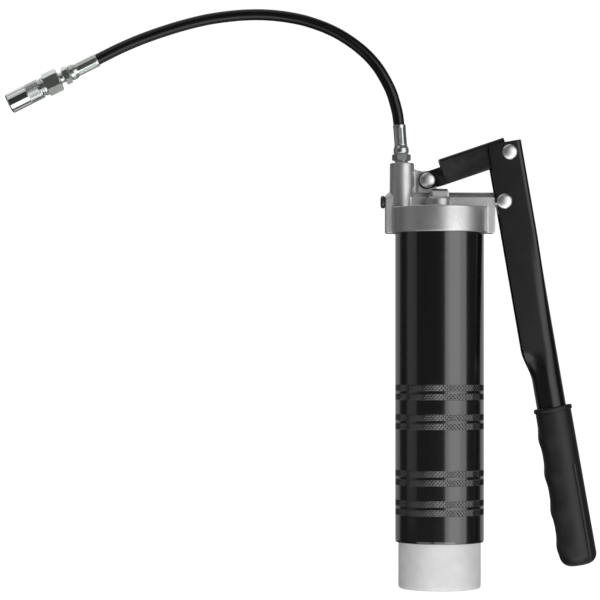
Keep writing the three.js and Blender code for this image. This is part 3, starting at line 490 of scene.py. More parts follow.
# %% Plated and ground steels
def steel(name, colour, roughness, pitch, depth, second=None, uneven=0.08):
    material, tree, _, _, _, bump = base_material(
        name, colour, roughness, metallic=1.0, size=0.5, clouds=6, tooth=0.008, uneven=uneven, second=second)
    lines = add_node(tree, "ShaderNodeGroup", node_tree=rings_group)
    lines.inputs["Pitch"].default_value = pitch
    add_height(tree, bump, lines.outputs["Height"], depth)
    return material


zinc = steel("zinc plate", (0.80, 0.84, 0.80), 0.32, 0.3, 0.1, second=(0.64, 0.69, 0.65))
rivet_steel = steel("rivet steel", (0.95, 0.95, 0.96), 0.4, 0.35, 0.05, second=(0.82, 0.82, 0.83))
ground_steel = steel("ground steel", (0.6, 0.61, 0.62), 0.3, 0.2, 0.15)
dark_steel = steel("dark steel", (0.12, 0.12, 0.125), 0.42, 0.4, 0.1)
bright_plate = steel("bright plate", (0.84, 0.87, 0.86), 0.12, 0.6, 0.02,
                     second=(0.78, 0.82, 0.81), uneven=0.04)

# %% [markdown]
# The hose is what the eye follows first. It is a fixed length of thick rubber tube, stiff enough to stand in
# an arch from the head and droop to its coupler. A curve with a round bevel is the simplest true model: its
# line is the centreline. The route is chosen point by point in millimetres, straight out of the ferrule and
# then round. Both ends reach a little way into their ferrules, so that no gap shows at the mouth.

# %% The route of the hose
HOSE_DIAMETER = 7.3 * MM
HOSE_ROUTE = [
    (-26.4, 301.2), (-27.2, 307.5), (-28.7, 314.0), (-31.2, 322.0), (-34.8, 329.6),
    (-39.6, 337.6), (-45.2, 344.5), (-51.5, 350.4), (-58.4, 355.6), (-66.0, 360.3),
    (-74.2, 364.2), (-82.7, 367.3), (-91.5, 369.7), (-103.4, 371.7), (-115.4, 372.6),
    (-127.3, 372.4), (-139.2, 371.3), (-150.9, 369.5), (-162.6, 366.8), (-174.2, 363.5),
    (-185.7, 359.7), (-197.1, 355.4), (-208.3, 350.5), (-216.6, 346.4), (-221.7, 343.8),
]
route = [Vector((x * MM, 0, z * MM)) for x, z in HOSE_ROUTE]
print("hose route:", len(route), "points")

# %% [markdown]
# A bent hose has no corners, so a smooth line is run through the points. This spline passes through every
# one of them, which a Bezier curve with free handles would not do by itself. The line then becomes the
# curve, as points that lie close together.


# %% The line of the hose
def smooth_route(points, steps=6):
    ends = [points[0] * 2 - points[1], *points, points[-1] * 2 - points[-2]]
    line = []
    for a, b, c, d in zip(ends, ends[1:], ends[2:], ends[3:]):
        for i in range(steps):
            t = i / steps
            line.append(0.5 * (2 * b + (c - a) * t + (2 * a - 5 * b + 4 * c - d) * t ** 2
                               + (3 * b - a - 3 * c + d) * t ** 3))
    return line + [points[-1]]


FERRULE_DEPTH = 1.4 * MM
line = smooth_route(route)
line.insert(0, line[0] + (line[0] - line[1]).normalized() * FERRULE_DEPTH)
line.append(line[-1] + (line[-1] - line[-2]).normalized() * FERRULE_DEPTH)
hose_curve = bpy.data.curves.new("hose_cover", "CURVE")
hose_curve.dimensions = "3D"
hose_curve.bevel_depth = HOSE_DIAMETER / 2
hose_curve.bevel_resolution = 10
hose_curve.use_fill_caps = True
spline = hose_curve.splines.new("POLY")
spline.points.add(len(line) - 1)
for point, at in zip(spline.points, line):
    point.co = (*at, 1)
spline.use_smooth = True
hose = new_object("hose_cover", hose_curve)
finished(hose, "gun", "hose_rubber", hose_rubber, "hose")

# %% [markdown]
# At each end the hose sits in a crimp ferrule: a cup of soft steel that a press squeezes from eight sides.
# The press leaves eight flats with ridges between them. Next to the hexagon the cup keeps its full width.

# %% Crimp ferrules
OUTLET_X = -24.8 * MM
FERRULE_BASE = 282.1 * MM
FERRULE_TILT = math.radians(-4.2)
FERRULE_RADIUS = 4.2 * MM
CRIMP_SIDES = 8
CRIMP_DEPTH = 0.955
FERRULE_BORE = 1.7 * MM


def crimp_shape(start, end):
    def reach(angle, radius, height):
        if not start <= height <= end or radius < 4 * MM:
            return radius
        step = 2 * math.pi / CRIMP_SIDES
        off_middle = (angle + step / 2) % step - step / 2
        flat = FERRULE_RADIUS * CRIMP_DEPTH / math.cos(off_middle)
        return min(radius, flat)
    return reach


def ferrule(name, length, place, node):
    mouth = HOSE_DIAMETER / 2 + 0.02 * MM
    outline = [
        (FERRULE_BORE, 0), (4.5 * MM, 0, 0.3 * MM), (5.0 * MM, 0.9 * MM, 0.6 * MM),
        (5.0 * MM, 3.3 * MM, 1 * MM),
        (FERRULE_RADIUS, 5.4 * MM, 1 * MM), (FERRULE_RADIUS, 6.0 * MM),
        (FERRULE_RADIUS, 6.1 * MM), (FERRULE_RADIUS, length - 2.1 * MM),
        (FERRULE_RADIUS, length - 2.0 * MM), (FERRULE_RADIUS, length - 1.2 * MM, 0.3 * MM),
        (FERRULE_RADIUS, length, 0.3 * MM), (mouth, length, 0.1 * MM), (mouth, length - 1.5 * MM),
        (FERRULE_BORE, length - 1.6 * MM), (FERRULE_BORE, 0),
    ]
    piece = turned(name, outline, place, 128, crimp_shape(6.05 * MM, length - 2.05 * MM))
    return finished(piece, "gun", "zinc_plate", zinc, node)


NEAR_FERRULE = 18.8 * MM
gun_ferrule = ferrule("crimp_gun_end", NEAR_FERRULE, plane_frame((OUTLET_X, 0, FERRULE_BASE), FERRULE_TILT),
                      "ferrule_gun_end")
print("gun end ferrule", round(NEAR_FERRULE * 1000, 1), "mm long")

# %% [markdown]
# The coupler end has its own frame: its origin is where the hose ends, and Z runs to the nose.
# The turning joint of the sleeve gives both the axis and the nose, so nothing here is measured twice.

# %% The coupler's frame and its ferrule
nose = Vector(joints["coupler_sleeve_turn"]["pos_m"])
coupler_axis = Vector(joints["coupler_sleeve_turn"]["axis"]).normalized()
COUPLER_LENGTH = 64.3 * MM
coupler_turn = math.atan2(coupler_axis.x, coupler_axis.z)
coupler_frame = plane_frame(nose - coupler_axis * COUPLER_LENGTH, coupler_turn)
FAR_FERRULE = 20.3 * MM
turned_round = Matrix.Translation((0, 0, FAR_FERRULE)) @ Matrix.Rotation(math.pi, 4, "X")
far_ferrule = ferrule("crimp_coupler_end", FAR_FERRULE, coupler_frame @ turned_round, "ferrule_coupler_end")
print("coupler tilt", round(math.degrees(coupler_turn), 1), "degrees")

# %% [markdown]
# A hexagon on a fitting is a hexagonal bar whose ends are chamfered on the lathe. At every angle its radius
# is the smaller of the bar's and the cone's, and that one rule gives the curved line where the two meet.


# %% Hexagons
def hexagon_shape(spans):
    def reach(angle, radius, height):
        for low, high, corner in spans:
            if low <= height <= high:
                step = math.pi / 3
                off_middle = angle % step - step / 2
                return min(radius, corner * math.cos(math.pi / 6) / math.cos(off_middle))
        return radius
    return reach


def hex_outline(low, high, corner, steps=6):
    chamfer = corner * 0.13
    rise = chamfer * 0.6
    inner = corner - chamfer
    start = [(inner + chamfer * i / steps, low + rise * i / steps) for i in range(steps + 1)]
    end = [(corner - chamfer * i / steps, high - rise + rise * i / steps) for i in range(steps + 1)]
    return start + end


# %% [markdown]
# The adapter screws into the outlet of the head and carries the hose. Its thread hides in the boss, so plain
# ridges are enough for it: a true spiral would cost many faces that nobody sees.

# %% The hose adapter
HEX = (277.6 * MM, 281.8 * MM, 6.1 * MM)
adapter_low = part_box("hose_adapter")[0].z
adapter_high = HEX[1] + 0.001 * MM
ADAPTER_BORE = 1.6 * MM
thread = [(4.15 * MM + (0.25 * MM if i % 2 else 0), adapter_low + (0.8 + i * 0.45) * MM) for i in range(15)]
adapter = turned("hose_nipple", [
    (ADAPTER_BORE, adapter_low), (3.7 * MM, adapter_low, 0.2 * MM), *thread, (4.1 * MM, HEX[0] - 0.02 * MM),
    *hex_outline(*HEX), (4.0 * MM, adapter_high), (ADAPTER_BORE, adapter_high), (ADAPTER_BORE, adapter_low),
], Matrix.Translation((OUTLET_X, 0, 0)), 144, hexagon_shape([HEX]))
finished(adapter, "gun", "zinc_plate", zinc, "hose_adapter")
print("adapter hexagon", round(HEX[2] * 2000, 1), "mm over corners")

# %% [markdown]
# The coupler body is one turned bar: a small hexagon next to the hose, a neck, a large hexagon for the
# spanner, and a collar where the sleeve screws on.

# %% The coupler body
NUT = (20.6 * MM, 24.4 * MM, 6.05 * MM)
BODY_HEX = (27.8 * MM, 37.6 * MM, 7.7 * MM)
SLEEVE_START = 40.7 * MM
BODY_END = 47.4 * MM
COUPLER_BORE = 1.7 * MM
coupler = turned("coupler_bar", [
    (COUPLER_BORE, NUT[0]), (4.6 * MM, NUT[0]), *hex_outline(*NUT), (3.9 * MM, NUT[1] + 0.1 * MM),
    (3.5 * MM, NUT[1] + 0.5 * MM, 0.2 * MM), (3.5 * MM, BODY_HEX[0] - 0.6 * MM, 0.2 * MM),
    (4.6 * MM, BODY_HEX[0] - 0.1 * MM), *hex_outline(*BODY_HEX), (6.1 * MM, BODY_HEX[1] + 0.2 * MM),
    (6.1 * MM, SLEEVE_START - 1.3 * MM, 0.3 * MM), (5.6 * MM, SLEEVE_START - 0.9 * MM),
    (5.6 * MM, SLEEVE_START - 0.3 * MM), (4.9 * MM, SLEEVE_START - 0.3 * MM), (4.9 * MM, BODY_END, 0.2 * MM),
    (COUPLER_BORE, BODY_END), (COUPLER_BORE, NUT[0]),
], coupler_frame, 144, hexagon_shape([NUT, BODY_HEX]))
finished(coupler, "gun", "zinc_plate", zinc, "coupler_body")
print("coupler hexagons", round(NUT[2] * 2000, 1), "and", round(BODY_HEX[2] * 2000, 1), "mm over corners")

# %% [markdown]
# Knurling is rolled into steel by two toothed wheels that slant in opposite directions. Their grooves cross
# and leave diamonds. The same rule makes both knurls of this gun: the depth at an angle and a height is
# that of the nearer groove. Points that lie a quarter of the pitch apart hit every ridge and every groove.


# %% The knurl rule
def knurl_depth(angle, height, teeth, pitch):
    around = angle * teeth / (2 * math.pi)
    along = height / pitch
    nearest = min(abs((around + side * along) % 1 - 0.5) for side in (-1, 1))
    return 1 - 2 * nearest


def rows_between(low, high, step):
    count = max(1, round((high - low) / step))
    return [low + (high - low) * i / count for i in range(count + 1)]


# %% [markdown]
# The sleeve screws over the jaws. Its rear is knurled for the fingers, its front is smooth and bright, and
# the mouth narrows inside to a cone that presses the jaws together. A notch in the rear edge takes a pin
# key. The notch is cut while the sleeve stands upright at the origin, and then the sleeve takes the
# coupler's frame.

# %% The coupler sleeve
SLEEVE_RADIUS = 6.55 * MM
SLEEVE_TEETH = 46
SLEEVE_PITCH = 2 * math.pi * SLEEVE_RADIUS / SLEEVE_TEETH
SLEEVE_KNURL = (SLEEVE_START + 1.2 * MM, SLEEVE_START + 1.2 * MM + 9 * SLEEVE_PITCH)
SLEEVE_CUT = 0.11 * MM
SLEEVE_BORE = 5.2 * MM
JAW_ROOM = 5.9 * MM
JAW_ROOM_START = 49 * MM
MOUTH_RADIUS = 4.6 * MM


def sleeve_reach(angle, radius, height):
    if radius > JAW_ROOM + 0.4 * MM and SLEEVE_KNURL[0] < height < SLEEVE_KNURL[1]:
        depth = knurl_depth(angle, height - SLEEVE_KNURL[0], SLEEVE_TEETH, SLEEVE_PITCH)
        return radius - SLEEVE_CUT * depth
    return radius


knurl_rows = [(SLEEVE_RADIUS, z) for z in rows_between(*SLEEVE_KNURL, SLEEVE_PITCH / 4)]
bright_start = SLEEVE_KNURL[1] + 0.3 * MM
sleeve = turned("sleeve_shell", [
    (SLEEVE_BORE, SLEEVE_START), (6.0 * MM, SLEEVE_START, 0.2 * MM),
    (SLEEVE_RADIUS, SLEEVE_START + 0.6 * MM, 0.3 * MM), *knurl_rows,
    (SLEEVE_RADIUS, bright_start), (SLEEVE_RADIUS - 0.1 * MM, bright_start + 0.15 * MM),
    (SLEEVE_RADIUS - 0.1 * MM, bright_start + 0.4 * MM), (SLEEVE_RADIUS, bright_start + 0.5 * MM, 0.05 * MM),
    (SLEEVE_RADIUS, COUPLER_LENGTH - 0.8 * MM, 0.4 * MM),
    (SLEEVE_RADIUS - 0.6 * MM, COUPLER_LENGTH, 0.3 * MM),
    (MOUTH_RADIUS, COUPLER_LENGTH, 0.25 * MM), (MOUTH_RADIUS, COUPLER_LENGTH - 0.8 * MM),
    (JAW_ROOM, COUPLER_LENGTH - 3 * MM), (JAW_ROOM, JAW_ROOM_START),
    (SLEEVE_BORE, JAW_ROOM_START), (SLEEVE_BORE, SLEEVE_START),
], sides=4 * SLEEVE_TEETH, shape=sleeve_reach, steps=8)
notch_low, notch_high = SLEEVE_START - MM, SLEEVE_START + 2.2 * MM
notch_left, notch_right = -1.4 * MM, 0.6 * MM
notch = block([(notch_left, notch_low), (notch_right, notch_low), (notch_right, notch_high),
               (notch_left, notch_high)], "Y", -8 * MM, -4 * MM)
boolean(sleeve, [notch], "DIFFERENCE")
shade(sleeve.data, 16)
sleeve.matrix_world = coupler_frame
finished(sleeve, "coupler_sleeve", "bright_plate", bright_plate, "coupler_sleeve")
print("sleeve knurl pitch", round(SLEEVE_PITCH * 1000, 2), "mm")

# %% [markdown]
# The four jaws are sectors of a hardened ring, with a cone at the front and a small hook inside. They could
# be cut out of a turned ring, but it is simpler to turn the profile through each jaw's own angle and close
# the ends. The profile is a list of (radius, height) in millimetres.

# %% The coupler jaws
JAW_ARC = math.radians(74)
JAW_PROFILE = [(3.2, 54.5), (4.7, 54.5), (4.9, 54.7), (4.9, 61.2), (4.75, 61.6), (4.0, 62.35), (3.7, 62.4),
               (3.2, 61.8), (3.2, 60.2), (3.6, 59.6), (3.6, 58.0), (3.2, 57.4)]
JAW_STEPS = 12
for index in range(4):
    start = index * math.pi / 2 - JAW_ARC / 2
    slices = []
    for i in range(JAW_STEPS + 1):
        angle = start + JAW_ARC * i / JAW_STEPS
        slices.append([(r * MM * math.cos(angle), r * MM * math.sin(angle), z * MM) for r, z in JAW_PROFILE])
    build = bmesh.new()
    made = [[build.verts.new(point) for point in ring] for ring in slices]
    for low_ring, high_ring in zip(made, made[1:]):
        for i in range(len(low_ring)):
            j = (i + 1) % len(low_ring)
            build.faces.new((low_ring[i], low_ring[j], high_ring[j], high_ring[i]))
    build.faces.new(made[0])
    build.faces.new(made[-1])
    bmesh.ops.recalc_face_normals(build, faces=build.faces)
    mesh = bpy.data.meshes.new(f"jaw_slice_{index + 1}")
    build.to_mesh(mesh)
    build.free()
    shade(mesh)
    jaw = new_object(f"jaw_slice_{index + 1}", mesh, coupler_frame)
    finished(jaw, f"jaw_{index + 1}", "plain_steel", ground_steel, f"coupler_jaw_{index + 1}")
print("jaws:", index + 1)

# %% [markdown]

# %% [markdown]
# The studio is a light table of white acrylic that fades into a pale sweep, so no horizon shows. Lamps below
# the table shine through it, so it casts no shadow. The camera sees it, but mirrors don't: if the dark enamel
# mirrored it, the barrel would turn grey. Its glow is painted a little weaker in the middle, round the gun.
# This is a painted shade under the gun, on top of the gun's own soft shadow that falls there.

# %% The sweep
SWEEP_RADIUS = 3.0
BEND_RADIUS = 1.2
paper, tree, shader, *_ = base_material("white acrylic", (0.3, 0.3, 0.3), 0.85, size=1.5, clouds=400,
                                        tooth=0.01, second=(0.29, 0.29, 0.29))
spot = add_node(tree, "ShaderNodeTexCoord")
from_middle = add_node(tree, "ShaderNodeVectorMath", {0: spot.outputs["Object"]}, operation="LENGTH")
# painted shade: the glow is dimmed from 1.0 at the rim to 0.92 in the middle, under the gun
table_glow_with_painted_shade = add_node(tree, "ShaderNodeMapRange", {"Value": from_middle.outputs["Value"], "From Min": 0.1,
                      "From Max": 0.7, "To Min": 0.92, "To Max": 1.0}, interpolation_type="SMOOTHSTEP")
tree.links.new(table_glow_with_painted_shade.outputs[0], shader.inputs["Emission Color"])
shader.inputs["Emission Strength"].default_value = 1.0
bend_centre = (SWEEP_RADIUS - BEND_RADIUS, BEND_RADIUS)
SWEEP_HEIGHT = 4
table_rings = [(0.1 * i, 0) for i in range(18)]
bend_rings = arc(bend_centre, BEND_RADIUS, -90, 0, 16)
sweep = turned("sweep", table_rings + bend_rings + [(SWEEP_RADIUS, SWEEP_HEIGHT)], sides=64)
sweep.data.materials.append(paper)
sweep.visible_glossy = False
sweep.visible_diffuse = False
sweep.visible_shadow = False
print("sweep", 2 * SWEEP_RADIUS, "m wide")

# %% [markdown]
# A glossy barrel is lit by what it reflects. A point on it that faces an angle mirrors the studio at twice
# that angle, so the soft boxes are placed by angle. The key box, in front on the right, draws the broad
# band, the fill box on the left a dim one, and the boxes behind draw the edges. A dim ceiling greys the
# tops. The lamps under the table light the hose and the casting from below, and straight ahead stays dark.
# One more lamp fills the milky cartridge from the left, but no mirror sees it.


# %% The soft boxes
AIM = Vector((0, 0, 0.2))


def soft_box(name, azimuth, elevation, distance, size, radiance, mirrored=True):
    turn, lift = math.radians(azimuth), math.radians(elevation)
    towards = Vector((math.sin(turn) * math.cos(lift), -math.cos(turn) * math.cos(lift), math.sin(lift)))
    light = bpy.data.lights.new(name, "AREA")
    light.shape = "RECTANGLE"
    light.size, light.size_y = size
    light.energy = radiance * math.pi * size[0] * size[1]
    lamp = new_object(name, light)
    lamp.location = AIM + towards * distance
    lamp.rotation_euler = (-towards).to_track_quat("-Z", "Y").to_euler()
    lamp.visible_camera = False
    lamp.visible_glossy = mirrored
    print("lamp", name, round(light.energy, 2), "W")


soft_box("key_box", 40, -1, 1.2, (1.35, 1.83), 1.12)
soft_box("key_core", 36, -1, 1.18, (0.65, 1.1), 0.4)
soft_box("fill_box", -80, 3, 0.9, (0.5, 0.5), 0.2)
soft_box("right_edge_box", 150, 8, 1.4, (1.2, 1.2), 0.32)
soft_box("left_edge_box", -150, 8, 1.4, (1.2, 1.2), 0.26)
soft_box("rear_top_box", 180, 45, 1.5, (2.4, 0.8), 0.6)
soft_box("front_left_box", -53, 47, 1.2, (0.6, 0.5), 0.5)
soft_box("ceiling_box", -120, 72, 1.3, (1.7, 1.7), 0.45)
soft_box("table_lamp", 10, -50, 0.75, (0.7, 0.8), 1.35)
soft_box("table_lamp_left", -45, -36, 0.8, (0.5, 0.34), 0.9)
soft_box("table_lamp_rear", 150, -52, 0.9, (0.8, 0.6), 0.5)
soft_box("cartridge_fill", -40, -10, 1.2, (1.0, 1.0), 1.25, mirrored=False)

# %% [markdown]
# The air of the room is nearly dark, but where the camera looks past the sweep it sees the same white.
# Light Path tells the two kinds of ray apart. The view transform is the plain one, so that white stays white.

# %% The room
ROOM_GLOW = 0.035
world = bpy.data.worlds.new("studio air")
bpy.context.scene.world = world
world.use_nodes = True
air = world.node_tree
ray = add_node(air, "ShaderNodeLightPath")
air_glow = add_node(air, "ShaderNodeMapRange", {"Value": ray.outputs["Is Camera Ray"], "To Min": ROOM_GLOW,
                    "To Max": 1.0})
air.nodes["Background"].inputs["Color"].default_value = (1, 1, 1, 1)
air.links.new(air_glow.outputs[0], air.nodes["Background"].inputs["Strength"])
bpy.context.scene.view_settings.view_transform = "Standard"
bpy.context.scene.view_settings.look = "None"
print("room glow", ROOM_GLOW)

# %% [markdown]
# The head is one casting: a ring that takes the barrel, two ears, the pump cylinder across the top, an
# outlet boss, and a lug that carries the link. Such a piece is drawn as simple solids joined together. A
# voxel remesh then turns the union into one even skin, and a little smoothing runs a fillet into every
# inner corner, as a foundry pattern has, and takes the edge off every outer one.

# %% The solids of the casting
head_low, head_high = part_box("head_casting")
PUMP_AXIS = 250.8 * MM
PUMP_RADIUS = 6.3 * MM
HEAD_LEFT, HEAD_RIGHT = head_low.x, head_high.x
RING_BOTTOM = head_low.z
RING_TOP = 247 * MM
RING_RADIUS = head_high.y
link_pivot = Vector(joints["link_swing"]["pos_m"])
LUG_HALF = 2.9 * MM
LUG_RADIUS = 6.4 * MM


def solid_disc(outline, place=None, sides=64):
    return turned("solid", outline, place, sides)


ring = solid_disc([(0, RING_BOTTOM), (RING_RADIUS, RING_BOTTOM), (RING_RADIUS, RING_TOP), (0, RING_TOP)],
                  sides=128)
ears = block(rounded_box((HEAD_LEFT, RING_BOTTOM), (HEAD_RIGHT, PUMP_AXIS + 3 * MM), 1.2 * MM),
             "Y", -PUMP_RADIUS, PUMP_RADIUS)
pump = solid_disc([(0, HEAD_LEFT), (PUMP_RADIUS - 2.2 * MM, HEAD_LEFT, 1.2 * MM),
                   (PUMP_RADIUS, HEAD_LEFT + 2.2 * MM, 1.5 * MM), (PUMP_RADIUS, HEAD_RIGHT),
                   (0, HEAD_RIGHT)], along_x(0, PUMP_AXIS))
outlet = solid_disc([(0, RING_TOP - 6 * MM), (8.3 * MM, RING_TOP - 6 * MM), (7.9 * MM, head_high.z),
                     (0, head_high.z)], Matrix.Translation((OUTLET_X + 0.4 * MM, 0, 0)))
web = block([(OUTLET_X, PUMP_AXIS), (link_pivot.x, PUMP_AXIS), (link_pivot.x, link_pivot.z + 5.6 * MM),
             (OUTLET_X, link_pivot.z + 8.6 * MM)], "Y", -LUG_HALF + 0.4 * MM, LUG_HALF - 0.4 * MM)
lug = block([(link_pivot.x - LUG_RADIUS, PUMP_AXIS), (link_pivot.x + LUG_RADIUS, PUMP_AXIS)]
            + arc((link_pivot.x, link_pivot.z), LUG_RADIUS, 0, 180, 20), "Y", -LUG_HALF, LUG_HALF)
BLEED_X, BLEED_Y = joints["bleed_valve_turn"]["pos_m"][:2]
BOSS_FOOT = RING_TOP - 2 * MM
PAD_TOP = 252.4 * MM
pad = solid_disc([(0, BOSS_FOOT), (8.2 * MM, BOSS_FOOT), (8.0 * MM, PAD_TOP), (0, PAD_TOP)],
                 Matrix.Translation((-1.6 * MM, -15 * MM, 0)))
BLOCK_TOP = 256.9 * MM
BLOCK_HALF, BLOCK_FRONT = 5.7 * MM, -19.5 * MM
bleed_block = block([(BLEED_X - BLOCK_HALF, BLOCK_FRONT), (BLEED_X + BLOCK_HALF, BLOCK_FRONT),
                     (BLEED_X + BLOCK_HALF, 0), (BLEED_X - BLOCK_HALF, 0)], "Z", BOSS_FOOT, BLOCK_TOP)
casting = boolean(ring, [ears, pump, outlet, web, lug, pad, bleed_block], "UNION")
casting.name = "pump_head"
print("casting joined:", len(casting.data.polygons), "faces")

# %% [markdown]
# The bores are cut before the remesh, so their mouths get the same worn edge as the rest: the seat of the
# barrel and the socket of the cartridge below, the pump bore, the valve chamber, and the hole for the pin.

# %% The bores of the casting
SEAT_TOP = 243.5 * MM
SEAT_INNER, SEAT_OUTER = 22.5 * MM, 29.05 * MM
SOCKET_STEP = 231.5 * MM
below = RING_BOTTOM - MM
seat = solid_disc([(SEAT_INNER, below), (SEAT_OUTER, below), (SEAT_OUTER, SEAT_TOP), (SEAT_INNER, SEAT_TOP),
                   (SEAT_INNER, below)], sides=128)
socket = solid_disc([(0, below), (23.5 * MM, below), (23.5 * MM, SOCKET_STEP), (18.3 * MM, SOCKET_STEP),
                     (18.3 * MM, SEAT_TOP), (0, SEAT_TOP)], sides=128)
bore = solid_disc([(0, HEAD_LEFT - MM), (3.5 * MM, HEAD_LEFT - MM), (3.5 * MM, HEAD_RIGHT + MM),
                   (0, HEAD_RIGHT + MM)], along_x(0, PUMP_AXIS))
gland_seat = solid_disc([(0, 30 * MM), (5.2 * MM, 30 * MM), (5.2 * MM, HEAD_RIGHT + MM),
                         (0, HEAD_RIGHT + MM)], along_x(0, PUMP_AXIS))
CHAMBER_LOW, CHAMBER_STEP = 257.6 * MM, 269.5 * MM
chamber = solid_disc([(0, CHAMBER_LOW), (3.6 * MM, CHAMBER_LOW), (3.6 * MM, CHAMBER_STEP),
                      (4.5 * MM, CHAMBER_STEP), (4.5 * MM, head_high.z + MM), (0, head_high.z + MM)],
                     Matrix.Translation((OUTLET_X, 0, 0)))
feed = solid_disc([(0, SEAT_TOP - MM), (2.5 * MM, SEAT_TOP - MM), (2.5 * MM, PUMP_AXIS), (0, PUMP_AXIS)],
                  Matrix.Translation((3 * MM, 0, 0)))
pin_hole = block(arc((link_pivot.x, link_pivot.z), 2.8 * MM, 0, 345, 23), "Y", -20 * MM, 20 * MM)
bleed_bore = solid_disc([(0, SEAT_TOP - MM), (2.5 * MM, SEAT_TOP - MM), (2.5 * MM, BLOCK_TOP + MM),
                         (0, BLOCK_TOP + MM)], Matrix.Translation((BLEED_X, BLEED_Y, 0)))
boolean(casting, [seat, socket, bore, gland_seat, chamber, feed, pin_hole, bleed_bore], "DIFFERENCE")
print("casting bored:", len(casting.data.polygons), "faces")

# %% [markdown]
# Now the remesh. Its voxel is about as large as the smallest fillet that shows: a smaller one only costs
# faces, and a larger one would round the bosses away. Seven rounds of smoothing take the steps of the
# voxels out.

# %% The cast skin
VOXEL = 0.42 * MM
remesh = casting.modifiers.new("remesh", "REMESH")
remesh.mode = "VOXEL"
remesh.voxel_size = VOXEL
remesh.use_smooth_shade = True
relax = casting.modifiers.new("smooth", "SMOOTH")
relax.factor = 0.5
relax.iterations = 7
applied(casting)
for face in casting.data.polygons:
    face.use_smooth = True
finished(casting, "gun", "casting", cast_metal, "head_casting")
print("cast skin:", len(casting.data.polygons), "faces")

# %% [markdown]
# The barrel is a drawn tube whose lower edge is rolled inwards, so that the cartridge can't catch on it.
# Four pairs of knurled strips are rolled into it for the hand. They follow the same knurl rule as the
# sleeve, on a coarser pitch. Edges sharper than a small angle are shaded flat, which keeps each diamond's
# sides crisp.

# %% The barrel
barrel_low, barrel_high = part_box("barrel")
BARREL_RADIUS = 28.75 * MM
BAND_HEIGHTS = [53.0 * MM, 72.2 * MM, 108.3 * MM, 127.3 * MM]
STRIP_SPACING = 5.8 * MM
BARREL_TEETH = 76
BARREL_PITCH = 2 * math.pi * BARREL_RADIUS / BARREL_TEETH
STRIP_HALF = 0.75 * BARREL_PITCH
STRIP_RISE = 0.12 * MM
BARREL_CUT = 0.28 * MM
STRIP_SHOULDER = 0.25 * MM
strips = [band + side * STRIP_SPACING / 2 for band in BAND_HEIGHTS for side in (-1, 1)]


def barrel_reach(angle, radius, height):
    for centre in strips:
        if radius > BARREL_RADIUS and abs(height - centre) < STRIP_HALF + 0.01 * MM:
            return radius - BARREL_CUT * knurl_depth(angle, height - centre, BARREL_TEETH, BARREL_PITCH)
    return radius


BARREL_BORE, ROLLED_EDGE = 27.75 * MM, 27.1 * MM
foot_z = barrel_low.z
tube_outline = [(ROLLED_EDGE, foot_z + 0.2 * MM), (27.6 * MM, foot_z, 0.3 * MM),
                (BARREL_RADIUS - 0.2 * MM, foot_z, 1.1 * MM), (BARREL_RADIUS, foot_z + 1.6 * MM, 0.6 * MM)]
for centre in strips:
    strip_low, strip_high = centre - STRIP_HALF, centre + STRIP_HALF
    tube_outline.append((BARREL_RADIUS, strip_low - STRIP_SHOULDER))
    tube_outline += [(BARREL_RADIUS + STRIP_RISE, z)
                     for z in rows_between(strip_low, strip_high, BARREL_PITCH / 4)]
    tube_outline.append((BARREL_RADIUS, strip_high + STRIP_SHOULDER))
tube_outline += [(BARREL_RADIUS, barrel_high.z, 0.3 * MM), (BARREL_BORE, barrel_high.z),
                 (BARREL_BORE, foot_z + 2 * MM), (ROLLED_EDGE, foot_z + 1.2 * MM),
                 (ROLLED_EDGE, foot_z + 0.2 * MM)]
barrel = turned("barrel_tube", tube_outline, sides=4 * BARREL_TEETH, shape=barrel_reach, steps=6,
                flat_angle=12)
finished(barrel, "gun", "barrel_enamel", enamel, "barrel")
print("barrel knurl:", len(strips), "strips,", round(BARREL_PITCH * 1000, 2), "mm pitch")

# %% [markdown]
# The cartridge is a bottle with a straight wall, a flat base with a moulded ring and four air holes behind
# the follower piston, and a threaded neck that screws into the head. It is turned, and only the holes are
# cut.

# %% The cartridge
CARTRIDGE_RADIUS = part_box("cartridge_shell")[1].x
NECK_RADIUS = 17.6 * MM
NECK_TOP, NECK_BORE = 240 * MM, 15.8 * MM
wall = 1.2 * MM
neck_thread = []
for i in range(5):
    turn_low = (228 + i * 2.3) * MM
    crest = NECK_RADIUS + 0.4 * MM
    neck_thread += [(NECK_RADIUS, turn_low), (crest, turn_low + 0.6 * MM, 0.2 * MM),
                    (crest, turn_low + 1.1 * MM, 0.2 * MM), (NECK_RADIUS, turn_low + 1.7 * MM)]
cartridge = turned("cartridge_bottle", [
    (0, 0), (16.5 * MM, 0, 0.3 * MM), (16.9 * MM, 0.5 * MM, 0.3 * MM), (19.2 * MM, 0.5 * MM, 0.3 * MM),
    (19.6 * MM, 0, 0.3 * MM), (CARTRIDGE_RADIUS, 0, 2.4 * MM),
    (CARTRIDGE_RADIUS, 217 * MM, 4 * MM), (NECK_RADIUS, 226 * MM, 1 * MM), *neck_thread,
    (NECK_RADIUS, NECK_TOP, 0.4 * MM), (NECK_BORE, NECK_TOP, 0.4 * MM), (NECK_BORE, 224.8 * MM),
    (CARTRIDGE_RADIUS - wall, 215.8 * MM), (CARTRIDGE_RADIUS - wall, wall * 2, 1 * MM), (0, wall * 2),
], sides=160, steps=6)
vents = []
VENT_CIRCLE, VENT_RADIUS = 12 * MM, 1.5 * MM
for i in range(4):
    angle = (i + 0.5) * math.pi / 2
    vent_place = Matrix.Translation((VENT_CIRCLE * math.cos(angle), VENT_CIRCLE * math.sin(angle), 0))
    vent_outline = [(0, -MM), (VENT_RADIUS, -MM), (VENT_RADIUS, 4 * MM), (0, 4 * MM)]
    vents.append(solid_disc(vent_outline, vent_place, 24))
boolean(cartridge, vents, "DIFFERENCE")
shade(cartridge.data)
finished(cartridge, "cartridge", "cartridge_plastic", frosted, "cartridge_shell")
print("cartridge", round(CARTRIDGE_RADIUS * 2000, 1), "mm wide")

